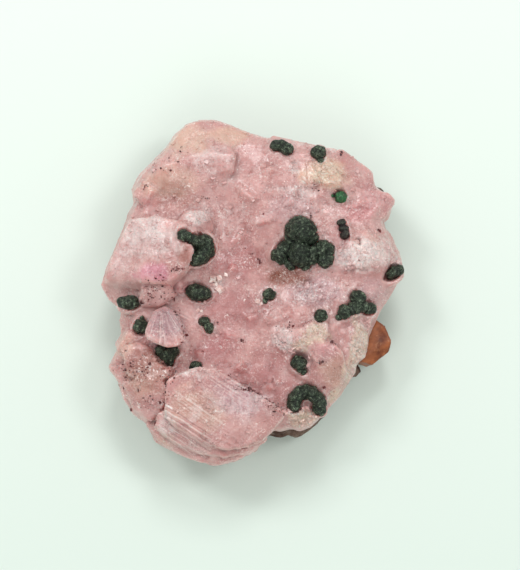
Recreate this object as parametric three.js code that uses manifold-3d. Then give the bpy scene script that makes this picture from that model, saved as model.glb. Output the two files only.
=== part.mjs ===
// A cobaltoan calcite specimen: a crust of pink crystals on brown host rock, set with dark
// green rounded clusters of malachite. Millimetres, +Z up, the specimen lying on its rock with
// the crystals facing up. The origin is the centre of the flat face that it rests on.
import * as THREE from "three";
import { ConvexGeometry } from "three/addons/geometries/ConvexGeometry.js";
import { mergeVertices } from "three/addons/utils/BufferGeometryUtils.js";
import Module from "manifold-3d";

const wasm = await Module();
wasm.setup();

// Driving dimensions
const ROCK_TOP = 9.0; // crown of the host rock, under the crust
const ROCK_SHOULDER = 6.6; // height at which the rock's side turns in under the crust
const CRUST_LIP = 6.4; // lowest edge of the crust round the rim
const RIM_HEIGHT = 9.6; // where the crust is widest
const GAP = 0.3; // clearance between pieces that touch
const CLEARANCE = 1.6 * GAP; // growth of a faceted piece that leaves the gap at its flats too
const LANDFORM_REACH = 4.2; // how far each height below shapes the crust around it
const BEAD_LIFT = 0.25; // share of a globule's radius by which its centre stands off the crust
const BEAD_FOOT = 0.5; // share of a globule's radius at which it is flat underneath
const TOLERANCE = 0.06; // facets smaller than this are merged away

// The crust's outline seen from above, anticlockwise from the north-west corner.
const OUTLINE = [
  [-11.2, 28.7], [-12.6, 27.4], [-14.0, 25.3], [-16.4, 22.6], [-19.0, 19.9], [-20.1, 17.4],
  [-19.7, 15.1], [-20.6, 13.4], [-22.6, 7.7], [-24.4, 3.4], [-25.0, 1.0], [-23.7, -1.7],
  [-21.5, -3.1], [-21.9, -5.1], [-21.6, -8.0], [-22.4, -10.4], [-23.7, -13.0], [-22.2, -15.0],
  [-21.2, -18.2], [-19.5, -20.6], [-17.4, -22.2], [-15.9, -25.4], [-12.8, -26.9], [-10.1, -27.7],
  [-6.5, -29.3], [-4.5, -29.0], [-2.6, -28.1], [1.8, -25.5], [5.3, -24.1], [9.3, -22.7],
  [12.1, -20.4], [15.0, -17.6], [16.4, -14.6], [19.0, -12.0], [19.4, -9.0], [20.0, -6.4],
  [21.3, -3.5], [23.7, 0.1], [24.9, 2.6], [25.2, 4.6], [24.6, 6.7], [22.7, 10.6], [22.4, 12.2],
  [24.1, 15.2], [22.8, 16.7], [20.7, 18.4], [20.5, 20.3], [16.0, 21.6], [15.6, 23.5],
  [14.2, 24.4], [9.8, 24.8], [5.8, 25.6], [1.8, 26.4], [-1.8, 27.7], [-5.9, 29.4], [-9.1, 29.4],
];

// Height of the crust's surface at places across it, under its large crystals.
const LANDFORM = [
  [-3.8, 10.0, 15.0], [-1.8, 4.1, 14.0], [-0.6, -1.9, 13.8], [-6.1, -9.7, 13.0],
  [-0.6, -13.0, 13.2], [3.3, -16.9, 12.8], [-3.7, -5.8, 13.5], [-15.7, 17.9, 15.6],
  [-10.1, 21.5, 16.6], [-5.4, 23.9, 15.6], [-14.1, 13.7, 14.8], [-6.9, 14.1, 14.8],
  [0.2, 22.1, 15.5], [2.6, 16.7, 16.0], [8.1, 17.6, 16.6], [13.7, 19.4, 16.0],
  [18.4, 16.8, 14.8], [18.1, 12.6, 14.2], [12.0, 10.6, 15.8], [8.1, 5.8, 15.6],
  [17.5, 4.9, 15.6], [21.6, 4.7, 13.2], [5.3, 1.4, 13.6], [12.8, -1.8, 15.0],
  [19.5, -1.5, 13.8], [8.0, -9.0, 15.2], [13.9, -12.1, 14.6], [17.1, -9.8, 13.2],
  [8.8, -18.4, 12.4], [6.5, -21.7, 11.0], [-17.8, -12.4, 13.2], [-18.6, -17.6, 12.2],
  [-17.1, 4.0, 15.0], [-21.2, 0.0, 12.0], [-10.8, 7.0, 15.8], [-18.7, -4.5, 12.8],
  [-13.4, -12.4, 13.0], [-6.8, -19.8, 14.0], [-8.4, -27.1, 9.5], [0.4, 22.6, 16.4],
  [2.4, 16.4, 17.0], [7.4, 18.2, 17.4], [9.6, 13.4, 17.2], [17.6, 13.8, 15.2],
  [10.4, -1.0, 15.6], [14.8, -0.8, 15.4], [20.6, -1.4, 13.0],
];

// Large crystals and lobes of the crust. Each is the hull of its top corners and of the same
// corners lower down: depth is how far they drop, and flare how far they spread on the way.
const LARGE_CRYSTALS = {
  northWestLobe: {
    top: [
      [-18.9, 16.4, 14.0], [-15.6, 21.1, 15.2], [-13.0, 23.7, 15.0], [-9.4, 26.8, 14.5],
      [-6.2, 27.3, 14.2], [-3.2, 22.7, 17.2], [-2.8, 21.0, 18.2], [-3.1, 18.6, 18.0],
      [-6.9, 15.7, 15.8], [-14.0, 15.0, 15.2], [-14.0, 19.5, 17.6], [-10.0, 20.7, 18.2],
      [-6.1, 21.4, 18.3],
    ],
    depth: 5.0, flare: 0.5,
  },
  westBlock: {
    top: [
      [-19.9, 10.7, 16.0], [-15.9, 10.8, 18.0], [-12.1, 9.7, 19.2], [-10.4, 8.6, 19.4],
      [-10.2, 4.4, 19.8], [-10.9, 1.4, 19.0], [-13.4, -0.5, 18.4], [-18.1, -0.1, 17.4],
      [-22.2, 0.1, 15.0], [-24.3, 1.1, 13.4], [-23.1, 4.4, 14.6], [-21.3, 8.3, 15.2],
    ],
    depth: 6.0, flare: 0.3,
  },
  westBlockFoot: {
    top: [
      [-17.8, 0.0, 16.0], [-13.4, -0.3, 17.0], [-12.7, -1.8, 15.6], [-15.1, -3.4, 14.6],
      [-18.7, -3.2, 14.4],
    ],
    depth: 4.0, flare: 0.5,
  },
  whiteCap: {
    top: [
      [-12.2, 9.6, 18.6], [-10.6, 11.6, 17.8], [-8.4, 12.1, 17.2], [-6.9, 10.6, 16.8],
      [-6.5, 8.9, 16.8], [-7.6, 8.0, 17.4], [-9.9, 8.4, 18.8], [-9.0, 9.7, 19.0],
    ],
    depth: 4.0, flare: 0.9,
  },
  glassCrystal: {
    top: [
      [-11.8, 5.6, 20.0], [-10.1, 6.0, 20.4], [-9.5, 4.6, 20.2], [-9.8, 2.9, 19.6],
      [-10.8, 1.6, 19.0], [-11.8, 2.4, 19.6],
    ],
    depth: 5.0, flare: 0.2,
  },
  fanCrystal: {
    top: [
      [-14.3, -3.7, 14.6], [-16.1, -4.7, 15.4], [-17.2, -7.7, 16.8], [-17.4, -9.2, 17.4],
      [-15.7, -10.3, 18.0], [-13.7, -11.1, 18.4], [-12.0, -10.8, 18.0], [-10.9, -10.0, 17.4],
      [-11.3, -7.0, 16.4], [-12.5, -4.7, 15.3],
    ],
    depth: 4.6, flare: -1.0,
  },
  southBlock: {
    top: [
      [-13.7, -16.6, 18.4], [-11.7, -15.5, 18.8], [-8.7, -14.5, 19.0], [-5.9, -15.0, 19.0],
      [-3.4, -16.3, 18.6], [0.2, -18.7, 18.0], [4.7, -21.0, 16.4], [5.3, -22.0, 15.6],
      [1.8, -25.8, 14.4], [-0.6, -26.8, 14.8], [-3.7, -27.4, 15.0], [-6.7, -27.0, 15.4],
      [-9.8, -25.5, 16.4], [-12.3, -24.0, 17.2], [-14.0, -22.3, 17.4],
    ],
    depth: 6.0, flare: -0.2,
  },
  southLedge: {
    top: [
      [-15.2, -21.6, 15.4], [-15.7, -23.7, 14.6], [-12.6, -26.1, 13.6], [-8.7, -27.6, 13.2],
      [-4.5, -28.3, 13.0], [-0.6, -27.5, 12.8], [2.6, -25.6, 12.8], [-2.1, -23.8, 14.0],
      [-11.8, -20.1, 15.5],
    ],
    depth: 4.0, flare: 0.0,
  },
  southStep: {
    top: [
      [-16.3, -24.0, 12.6], [-15.4, -25.7, 11.6], [-12.3, -27.4, 11.0], [-8.4, -28.8, 10.6],
      [-5.3, -29.2, 10.6], [-1.7, -28.2, 10.8], [1.4, -26.3, 11.4], [-3.7, -24.7, 12.4],
      [-11.9, -23.6, 12.8],
    ],
    depth: 3.6, flare: -0.6,
  },
  southWestLobe: {
    top: [
      [-21.4, -10.2, 13.2], [-18.5, -9.6, 14.2], [-15.4, -11.2, 14.2], [-13.1, -13.9, 14.6],
      [-13.4, -15.3, 15.4], [-16.5, -16.5, 15.2], [-20.1, -15.0, 13.6],
    ],
    depth: 4.0, flare: 0.6,
  },
  southWestFoot: {
    top: [
      [-21.0, -16.1, 12.8], [-17.7, -16.0, 14.8], [-14.2, -16.5, 15.4], [-14.4, -20.3, 14.6],
      [-16.6, -22.4, 12.8], [-19.4, -20.2, 11.6],
    ],
    depth: 4.0, flare: 0.5,
  },
  southWestRim: {
    top: [
      [-23.4, -13.2, 11.2], [-21.4, -12.9, 12.8], [-19.8, -15.3, 12.8], [-20.2, -17.9, 11.6],
      [-21.9, -15.3, 10.8],
    ],
    depth: 3.4, flare: 0.0,
  },
  northRimBlock: {
    top: [[3.4, 25.6, 13.8], [7.8, 24.2, 14.0], [11.8, 23.7, 14.0], [9.7, 20.6, 16.6], [5.0, 20.7, 16.4]],
    depth: 4.0, flare: 0.6,
  },
  northEastBlock: {
    top: [
      [9.3, 20.4, 16.8], [12.1, 22.7, 14.8], [15.4, 23.2, 14.0], [16.1, 20.7, 14.8],
      [20.1, 19.4, 13.6], [20.3, 17.0, 13.8], [15.6, 15.9, 16.6], [10.8, 16.7, 17.2],
    ],
    depth: 4.0, flare: 0.2,
  },
  northEastStep: {
    top: [[11.2, 18.4, 18.0], [14.0, 19.0, 17.8], [15.4, 16.8, 17.4], [12.0, 16.0, 18.0]],
    depth: 3.0, flare: 0.5,
  },
  eastCornerCrystal: {
    top: [
      [19.7, 16.5, 14.2], [22.7, 16.0, 13.2], [24.0, 14.9, 12.4], [22.3, 11.9, 12.6],
      [19.6, 11.5, 14.0], [18.4, 14.0, 15.2],
    ],
    depth: 4.4, flare: -0.3,
  },
  eastFrostInner: {
    top: [
      [15.0, 5.8, 15.6], [16.1, 7.3, 16.2], [19.2, 9.1, 15.4], [20.3, 5.6, 16.4],
      [18.3, 2.0, 16.4], [15.9, 3.0, 16.6],
    ],
    depth: 3.0, flare: 0.5,
  },
  eastFrostOuter: {
    top: [
      [19.6, 8.4, 14.8], [22.2, 7.9, 13.6], [23.8, 5.6, 12.8], [22.1, 2.6, 13.8],
      [19.1, 2.1, 15.8], [19.5, 5.6, 16.4],
    ],
    depth: 3.4, flare: 0.3,
  },
  creamDruseWest: {
    top: [[3.5, -8.7, 15.0], [5.7, -7.3, 15.8], [8.0, -8.0, 16.4], [7.6, -10.7, 16.2], [4.3, -11.1, 15.2]],
    depth: 3.0, flare: 0.5,
  },
  creamDruseEast: {
    top: [
      [8.0, -7.5, 16.2], [10.8, -6.2, 16.2], [12.5, -6.9, 16.0], [12.3, -8.9, 16.0],
      [10.3, -10.6, 16.4], [8.2, -10.9, 16.0],
    ],
    depth: 3.0, flare: 0.4,
  },
  smoothCrystal: {
    top: [
      [10.5, -10.7, 16.2], [12.9, -9.7, 17.2], [14.8, -11.6, 16.4], [15.5, -14.4, 14.4],
      [14.9, -16.4, 12.4], [12.2, -17.8, 12.6], [10.2, -15.2, 14.6],
    ],
    depth: 4.0, flare: 0.1,
  },
  rimColumns: {
    top: [
      [15.9, -7.4, 14.4], [17.9, -6.6, 13.6], [19.7, -5.8, 12.4], [19.1, -9.1, 11.8],
      [18.8, -11.8, 11.4], [17.1, -13.6, 11.4], [15.7, -11.8, 13.6],
    ],
    depth: 4.0, flare: 0.0,
  },
  southEastFoot: {
    top: [
      [4.1, -20.8, 12.8], [7.6, -19.9, 13.2], [12.0, -20.4, 11.6], [9.8, -22.7, 10.6],
      [5.3, -24.1, 10.4], [2.2, -25.1, 10.8],
    ],
    depth: 3.0, flare: 0.1,
  },
};

// Malachite clusters. Each globule is its place from above and its radius, and for those that
// hang on the flank of a large crystal also the height of the surface behind them.
const CLUSTERS = {
  malachite_center: [
    [8.1, 8.7, 2.5], [9.9, 7.5, 1.3], [6.5, 7.7, 1.3], [8.1, 5.4, 1.9], [4.9, 5.2, 1.5],
    [3.7, 5.2, 0.9], [12.0, 5.7, 1.5], [11.9, 4.2, 1.4], [9.9, 4.7, 1.5], [7.7, 3.6, 1.2],
    [6.4, 3.9, 1.0],
  ],
  malachite_west_crescent: [
    [-11.1, 7.9, 1.1, 19.3], [-9.9, 7.5, 0.9, 19.2], [-8.9, 6.9, 1.0, 18.6], [-7.7, 6.7, 1.4, 17.4],
    [-7.3, 5.4, 1.6, 16.6], [-8.2, 4.3, 1.4, 17.0], [-9.3, 3.3, 1.0, 17.8],
  ],
  malachite_south_crescent: [
    [7.0, -19.6, 1.0], [7.3, -18.7, 1.0], [8.0, -18.0, 1.0], [9.0, -17.6, 1.0], [9.9, -17.8, 1.0],
    [10.6, -18.4, 0.9], [11.1, -19.4, 1.0], [11.2, -20.2, 1.0],
  ],
  malachite_north_crescent: [[4.0, 23.3, 0.7], [5.0, 23.4, 0.8], [5.9, 22.6, 0.8]],
  malachite_east_cluster: [
    [17.4, -2.6, 1.1], [17.1, -4.1, 1.0], [15.4, -5.0, 1.0], [19.2, -4.2, 1.0], [16.3, -4.5, 0.8],
    [18.2, -3.9, 0.7],
  ],
  malachite_oval_bead: [[-9.4, -1.5, 1.2], [-8.5, -1.5, 1.4], [-7.6, -1.6, 1.1]],
  malachite_rim_bead: [[-20.9, -2.9, 1.0], [-19.8, -3.0, 1.2]],
  malachite_pointed_bead: [[-18.2, -6.9, 1.3], [-18.1, -5.9, 0.8]],
  malachite_under_fan: [[-13.8, -11.9, 1.5], [-13.3, -13.0, 0.8], [-14.9, -11.2, 0.7], [-12.5, -11.5, 0.8]],
  malachite_hidden_bead: [[-9.1, -13.8, 0.9]],
  malachite_small_pair: [[-7.8, -6.0, 0.8], [-7.1, -7.2, 0.8]],
  malachite_tailed_bead: [[2.8, -2.0, 1.0]],
  malachite_little_bead: [[11.2, -5.5, 1.0]],
  malachite_south_bead: [[7.8, -13.4, 1.3], [8.4, -14.6, 0.7]],
  malachite_dark_pair: [[15.0, 9.8, 0.8], [15.4, 8.6, 0.9]],
  malachite_bright_bead: [[14.6, 14.7, 1.0]],
  malachite_north_bead: [[11.2, 22.0, 1.1]],
  malachite_east_rim_bead: [[23.2, 1.9, 1.2], [24.0, 2.4, 0.9]],
};

// Host rock: broken lumps round a core, each a place, its half sizes and a seed for its facets.
const ROCK_LUMPS = [
  [-16, 14, 4.0, 5.0, 6.0, 3.9], [-18, 4, 4.2, 5.2, 6.0, 3.8], [-17, -8, 3.8, 5.0, 6.0, 4.0],
  [-13, -18, 4.0, 5.4, 5.0, 4.0], [-3, -21.5, 3.9, 6.5, 4.2, 3.4], [6.0, -19.5, 3.4, 7.0, 4.6, 3.3],
  [12.5, -11, 4.4, 5.6, 5.6, 3.9], [17, -3, 4.2, 5.2, 6.0, 4.0], [19, 6, 4.3, 5.0, 6.0, 3.9],
  [18.5, 14.5, 4.6, 4.6, 4.8, 3.7], [10, 19, 4.2, 6.6, 5.2, 4.0], [-2, 22, 4.0, 6.4, 5.4, 3.9],
  [-9, 23, 4.4, 5.0, 5.4, 4.0], [3, 4, 2.6, 9.0, 10.0, 3.4], [-6, -6, 2.4, 9.0, 9.0, 3.0],
];

// The iron-stained crystal that stands out from under the east rim.
const STAINED_CRYSTAL = [
  [20.6, -4.4, 8.0], [22.2, -5.8, 8.4], [23.3, -8.2, 8.0], [22.9, -10.0, 7.2], [20.2, -12.2, 7.6],
  [17.6, -11.6, 8.6], [17.4, -7.0, 8.8],
];

// A repeatable stream of numbers from 0 to 1.
function stream(seed) {
  let state = seed >>> 0;
  return () => {
    state = (state + 0x6d2b79f5) >>> 0;
    let t = Math.imul(state ^ (state >>> 15), state | 1);
    t = (t + Math.imul(t ^ (t >>> 7), t | 61)) ^ t;
    return ((t ^ (t >>> 14)) >>> 0) / 4294967296;
  };
}

function solidFrom(geometry) {
  const bare = geometry.clone();
  bare.deleteAttribute("normal");
  bare.deleteAttribute("uv");
  const merged = mergeVertices(bare, 1e-4);
  return new wasm.Manifold(
    new wasm.Mesh({
      numProp: 3,
      vertProperties: new Float32Array(merged.attributes.position.array),
      triVerts: new Uint32Array(merged.index.array),
    }),
  );
}

function geometryFrom(solid) {
  const mesh = solid.getMesh();
  const geometry = new THREE.BufferGeometry();
  geometry.setAttribute("position", new THREE.BufferAttribute(mesh.vertProperties, mesh.numProp));
  geometry.setIndex(new THREE.BufferAttribute(mesh.triVerts, 1));
  geometry.computeVertexNormals();
  return geometry;
}

function hullOf(points) {
  return solidFrom(new ConvexGeometry(points.map((p) => new THREE.Vector3(...p))));
}

function joined(solids) {
  return solids.reduce((whole, piece) => whole.add(piece));
}

// Height of the crust's surface from the control heights, each weighted by how near it is.
function landformHeight(x, y) {
  let total = 0;
  let weights = 0;
  for (const [px, py, pz] of LANDFORM) {
    const near = Math.hypot(x - px, y - py) / LANDFORM_REACH;
    const weight = Math.exp(-near * near) + 1e-5;
    total += weight * pz;
    weights += weight;
  }
  return total / weights;
}

// A closed skin through rings from the bottom up, closed on two centre points. A ring has as
// many points as the one below it, or half as many.
function loft(rings, bottom, top) {
  const starts = rings.map((_, k) => rings.slice(0, k).reduce((sum, ring) => sum + ring.length, 0));
  const bottomIndex = rings.reduce((sum, ring) => sum + ring.length, 0);
  const positions = [...rings.flat(), bottom, top].flat();
  const at = (ring, k) => starts[ring] + (k % rings[ring].length);
  const last = rings.length - 1;
  const faces = [];
  rings[0].forEach((_, k) => faces.push(bottomIndex, at(0, k + 1), at(0, k)));
  for (let low = 0; low < last; low++) {
    const step = rings[low].length / rings[low + 1].length;
    rings[low + 1].forEach((_, k) => {
      const near = at(low + 1, k);
      const far = at(low + 1, k + 1);
      for (let part = 0; part < step; part++) {
        faces.push(at(low, k * step + part), at(low, k * step + part + 1), near);
      }
      faces.push(at(low, (k + 1) * step), far, near);
    });
  }
  rings[last].forEach((_, k) => faces.push(at(last, k), at(last, k + 1), bottomIndex + 1));
  const geometry = new THREE.BufferGeometry();
  geometry.setAttribute("position", new THREE.Float32BufferAttribute(positions, 3));
  geometry.setIndex(faces);
  return solidFrom(geometry);
}

const halved = (ring) => ring.filter((_, k) => k % 2 === 0);

function largeCrystal({ top, depth, flare }) {
  const middle = [0, 1].map((axis) => top.reduce((sum, p) => sum + p[axis], 0) / top.length);
  const root = top.map(([x, y, z]) => {
    const reach = Math.hypot(x - middle[0], y - middle[1]) || 1;
    const spread = 1 + flare / reach;
    return [middle[0] + (x - middle[0]) * spread, middle[1] + (y - middle[1]) * spread, z - depth];
  });
  return hullOf([...top, ...root]);
}

// A small calcite rhombohedron: a cube pressed along its diagonal, which then points outward.
function rhombohedron(size, outward, spin) {
  const PRESSED = 0.78;
  const diagonal = new THREE.Vector3(1, 1, 1).normalize();
  const turn = new THREE.Quaternion().setFromUnitVectors(diagonal, outward);
  const about = new THREE.Quaternion().setFromAxisAngle(outward, spin);
  const corners = [];
  for (const x of [-1, 1]) {
    for (const y of [-1, 1]) {
      for (const z of [-1, 1]) {
        const corner = new THREE.Vector3(x, y, z);
        corner.addScaledVector(diagonal, (PRESSED - 1) * corner.dot(diagonal));
        corners.push(corner.multiplyScalar(size / 2).applyQuaternion(turn).applyQuaternion(about));
      }
    }
  }
  return corners;
}

function druseCrystal(place, size, outward, spin) {
  return hullOf(rhombohedron(size, outward, spin).map((c) => c.add(place).toArray()));
}

// The crust's body: rings inside the outline follow the landform, and two run under the rim.
function crustBody() {
  const atShare = (share, height) =>
    OUTLINE.map(([x, y]) => [x * share, y * share, height(x * share, y * share)]);
  const lip = (x, y) => {
    const around = Math.atan2(y, x);
    return CRUST_LIP + 0.8 * Math.sin(3 * around + 1) + 0.5 * Math.sin(7 * around);
  };
  const rings = [
    atShare(0.9, () => CRUST_LIP + 0.4),
    atShare(0.965, lip),
    atShare(1.0, () => RIM_HEIGHT),
    atShare(0.955, (x, y) => Math.max(RIM_HEIGHT + 1, landformHeight(x, y) - 1.8)),
    atShare(0.88, (x, y) => landformHeight(x, y) - 0.4),
    ...[0.74, 0.58, 0.42].map((share) => halved(atShare(share, landformHeight))),
    halved(halved(atShare(0.22, landformHeight))),
  ];
  return loft(rings, [0, 0, CRUST_LIP + 0.4], [0, 0, landformHeight(0, 0)]);
}

// Small crystals over the top, laid out in a sunflower pattern and left off the large faces.
function druseOverTop() {
  const COUNT = 60;
  const GOLDEN_ANGLE = Math.PI * (3 - Math.sqrt(5));
  const random = stream(11);
  const crystals = [];
  for (let k = 0; k < COUNT; k++) {
    const share = Math.sqrt((k + 0.5) / COUNT) * 0.93;
    const around = k * GOLDEN_ANGLE;
    const x = 24 * share * Math.cos(around) + (random() - 0.5);
    const y = 28 * share * Math.sin(around) + (random() - 0.5);
    const size = 2.6 + 2.0 * random();
    const tilt = new THREE.Vector3(random() - 0.5, random() - 0.5, 1.3).normalize();
    const place = new THREE.Vector3(x, y, landformHeight(x, y) - 0.42 * size);
    crystals.push({ x, y, solid: druseCrystal(place, size, tilt, random() * 6.28) });
  }
  return crystals
    .filter(({ x, y }) => insideOutline(x, y, 0.93) && !underGlobules(x, y))
    .map(({ solid }) => solid);
}

// Whether a small crystal at this place would stand under a cluster.
function underGlobules(x, y) {
  return Object.values(CLUSTERS)
    .flat()
    .some(([gx, gy, radius]) => Math.hypot(x - gx, y - gy) < radius + 1.3);
}

// Crystals that crowd the rim, in two tiers, each facing out.
function druseRoundRim() {
  const random = stream(23);
  return OUTLINE.filter((_, k) => k % 3 < 2).map(([x, y], k) => {
    const outward = new THREE.Vector3(x, y, 0).normalize();
    const [share, height] = k % 2 ? [0.95, 8.3] : [0.965, 10.4];
    const size = 2.4 + 1.6 * random();
    const facing = outward.clone().setZ(0.1 + 0.5 * random()).normalize();
    const place = new THREE.Vector3(x * share, y * share, height + random() - 0.5);
    place.addScaledVector(outward, -0.42 * size);
    return druseCrystal(place, size, facing, random() * 6.28);
  });
}

function insideOutline(x, y, share) {
  let inside = false;
  OUTLINE.forEach(([ax, ay], k) => {
    const [bx, by] = OUTLINE[(k + 1) % OUTLINE.length];
    const [x0, y0, x1, y1] = [ax, ay, bx, by].map((v) => v * share);
    const crosses = y0 > y !== y1 > y && x < ((x1 - x0) * (y - y0)) / (y1 - y0) + x0;
    if (crosses) inside = !inside;
  });
  return inside;
}

// A broken lump of rock: the hull of points thrown onto an ellipsoid.
function rockLump([x, y, z, halfX, halfY, halfZ], seed, growth) {
  const FACET_POINTS = 12;
  const random = stream(seed);
  const points = [];
  for (let k = 0; k < FACET_POINTS; k++) {
    const up = 1 - (2 * (k + 0.5)) / FACET_POINTS;
    const around = k * 2.4 + random();
    const level = Math.sqrt(1 - up * up);
    points.push([
      x + (halfX + growth) * level * Math.cos(around),
      y + (halfY + growth) * level * Math.sin(around),
      z + (halfZ + growth) * up,
    ]);
  }
  return hullOf(points);
}

// The host rock, or with some growth the room that it needs in what lies on it.
function hostRock(growth = 0) {
  const random = stream(5);
  const rough = OUTLINE.filter((_, k) => k % 2 === 0).map(([x, y]) => {
    const wobble = 0.95 + 0.08 * random();
    const out = wobble + growth / Math.hypot(x, y);
    return [x * out, y * out];
  });
  const ring = (share, height) =>
    rough.map(([x, y]) => [x * share, y * share, height + growth + 0.5 * random()]);
  const core = loft(
    [ring(0.62, -1.0), ring(0.8, 1.6), ring(0.89, 4.0), ring(0.9, ROCK_SHOULDER), ring(0.62, ROCK_TOP - 0.8)],
    [0, 0, -1.0],
    [0, 0, ROCK_TOP + growth],
  );
  const lumps = ROCK_LUMPS.map((lump, k) => rockLump(lump, 40 + k, growth));
  const below = solidFrom(new THREE.BoxGeometry(80, 80, 20).translate(0, 0, -10));
  return joined([core, ...lumps]).subtract(below);
}

// The stained crystal, or with some growth the room that it needs.
function stainedCrystal(growth = 0) {
  const DEPTH = 4.6;
  const foot = STAINED_CRYSTAL.map(([x, y, z]) => [x - 0.9, y + 0.3, z - DEPTH]);
  const corners = [...STAINED_CRYSTAL, ...foot];
  const middle = [0, 1, 2].map((axis) => corners.reduce((sum, c) => sum + c[axis], 0) / corners.length);
  const half = [3.2, 4.2, 3.0];
  return hullOf(
    corners.map((corner) =>
      corner.map((value, axis) => middle[axis] + (value - middle[axis]) * (1 + growth / half[axis])),
    ),
  );
}

// The one largest body of a solid, without slivers and without facets too small to see.
function finished(solid) {
  const bodies = solid.simplify(TOLERANCE).decompose();
  return bodies.reduce((best, body) => (body.volume() > best.volume() ? body : best));
}

// A globule, flat where it sits: larger ones have more facets.
function globule([x, y, radius], height) {
  const [around, upward] = radius > 2 ? [11, 7] : radius > 1.15 ? [8, 4] : [6, 4];
  const ball = new THREE.SphereGeometry(radius, around, upward);
  ball.rotateX(1.3 + x).rotateZ(y);
  const under = new THREE.BoxGeometry(4 * radius, 4 * radius, 2 * radius);
  under.translate(0, 0, -radius - BEAD_FOOT * radius);
  return solidFrom(ball).subtract(solidFrom(under)).translate([x, y, height + BEAD_LIFT * radius]);
}

// The flat-floored seat cut in the crust for a globule, clear of it all round.
function globuleSeat([x, y, radius], height) {
  const SIDES = radius > 2 ? 8 : 6;
  const across = (radius + GAP) / Math.cos(Math.PI / SIDES);
  const tall = (1.2 + BEAD_FOOT) * radius + GAP;
  const seat = new THREE.CylinderGeometry(across, 0.95 * across, tall, SIDES).rotateX(Math.PI / 2);
  return solidFrom(seat.translate(x, y, height + (BEAD_LIFT + 1.2) * radius - tall / 2));
}

// Highest point of a mesh above a place, or the landform where nothing is there.
function surfaceOf(mesh) {
  const caster = new THREE.Raycaster();
  const down = new THREE.Vector3(0, 0, -1);
  return (x, y) => {
    caster.set(new THREE.Vector3(x, y, 60), down);
    const hits = caster.intersectObject(mesh);
    return hits.length ? hits[0].point.z : landformHeight(x, y);
  };
}

const PINK = new THREE.MeshStandardMaterial({ color: 0xd6a09a, roughness: 0.45, metalness: 0 });
const DARK_GREEN = new THREE.MeshStandardMaterial({ color: 0x23382a, roughness: 0.55, metalness: 0 });
const BROWN = new THREE.MeshStandardMaterial({ color: 0x6b5347, roughness: 0.85, metalness: 0 });
const RUST = new THREE.MeshStandardMaterial({ color: 0x96603c, roughness: 0.4, metalness: 0 });

function named(name, solid, material) {
  const mesh = new THREE.Mesh(geometryFrom(solid), material);
  mesh.name = name;
  return mesh;
}

const rock = finished(hostRock());
const rockRoom = hostRock(CLEARANCE);
const stained = finished(stainedCrystal().subtract(rockRoom));
const grown = joined([
  crustBody(),
  ...Object.values(LARGE_CRYSTALS).map(largeCrystal),
  ...druseOverTop(),
  ...druseRoundRim(),
]);
const surface = surfaceOf(new THREE.Mesh(geometryFrom(grown), PINK));
const seated = Object.entries(CLUSTERS).map(([name, globules]) => {
  const at = globules.map(([x, y, , height]) => height ?? surface(x, y));
  return {
    name,
    cluster: finished(joined(globules.map((bead, k) => globule(bead, at[k])))),
    seat: joined(globules.map((bead, k) => globuleSeat(bead, at[k]))),
  };
});
const bedded = grown.subtract(rockRoom).subtract(stainedCrystal(CLEARANCE));
const crust = finished(seated.reduce((left, { seat }) => left.subtract(seat), bedded));

const specimen = new THREE.Group();
specimen.add(named("host_rock", rock, BROWN));
specimen.add(named("iron_stained_crystal", stained, RUST));
specimen.add(named("calcite_crust", crust, PINK));
for (const { name, cluster } of seated) specimen.add(named(name, cluster, DARK_GREEN));

export default specimen;
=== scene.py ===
import itertools
import math

import bmesh
import bpy
import numpy as np
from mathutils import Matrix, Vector


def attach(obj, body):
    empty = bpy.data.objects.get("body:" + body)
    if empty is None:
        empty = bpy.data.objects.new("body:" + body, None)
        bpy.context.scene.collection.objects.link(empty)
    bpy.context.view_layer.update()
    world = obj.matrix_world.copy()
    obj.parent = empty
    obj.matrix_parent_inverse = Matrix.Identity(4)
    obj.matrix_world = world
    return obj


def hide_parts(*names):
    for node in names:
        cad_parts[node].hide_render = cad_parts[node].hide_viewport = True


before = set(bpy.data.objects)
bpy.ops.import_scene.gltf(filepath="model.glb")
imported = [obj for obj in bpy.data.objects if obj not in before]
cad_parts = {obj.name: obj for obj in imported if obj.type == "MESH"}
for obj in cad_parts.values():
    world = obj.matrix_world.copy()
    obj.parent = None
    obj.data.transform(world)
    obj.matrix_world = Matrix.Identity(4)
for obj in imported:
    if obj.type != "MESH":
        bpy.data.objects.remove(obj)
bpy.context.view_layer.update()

MM = 0.001

# Sides of the squares that each skin is rebuilt from, in millimetres.
CRUST_VOXEL = 0.3
ROCK_VOXEL = 0.4
STAINED_VOXEL = 0.2
BEAD_VOXEL = 0.13

# From one crystal to the next in the crust's relief, in millimetres.
BROAD_SPACING = 5.2
SIDE_SPACING = 4.0
BLOCK_SPACING = 3.1
COARSE_SPACING = 2.3
FINE_SPACING = 1.05

# Growth lines: the way across them on the south block and on the rim's columns, and the fan's
# apex, middle and reach. Ledges are one step apart.
BLOCK_ACROSS = (0.545, 0.839)
COLUMNS_ACROSS = (0.455, 0.89)
COLUMNS_WEST_END = 12
FAN_APEX = (-14.9, -2.9)
FAN_MIDDLE = (-14.3, -7.2)
FAN_REACH = 5.5
LEDGE_STEP = 1.05

# Heights over which one treatment gives way to another, in millimetres.
FOOT_OF_CRUST = (9.5, 8.0)
RIM_OF_CRUST = (12.5, 10.5)
LOWER_ROCK = (8.0, 5.0)
UPPER_ROCK = (2.5, 4.5)

DRUSE_COUNT = 1800
FULL_TURN = 6.28

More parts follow.
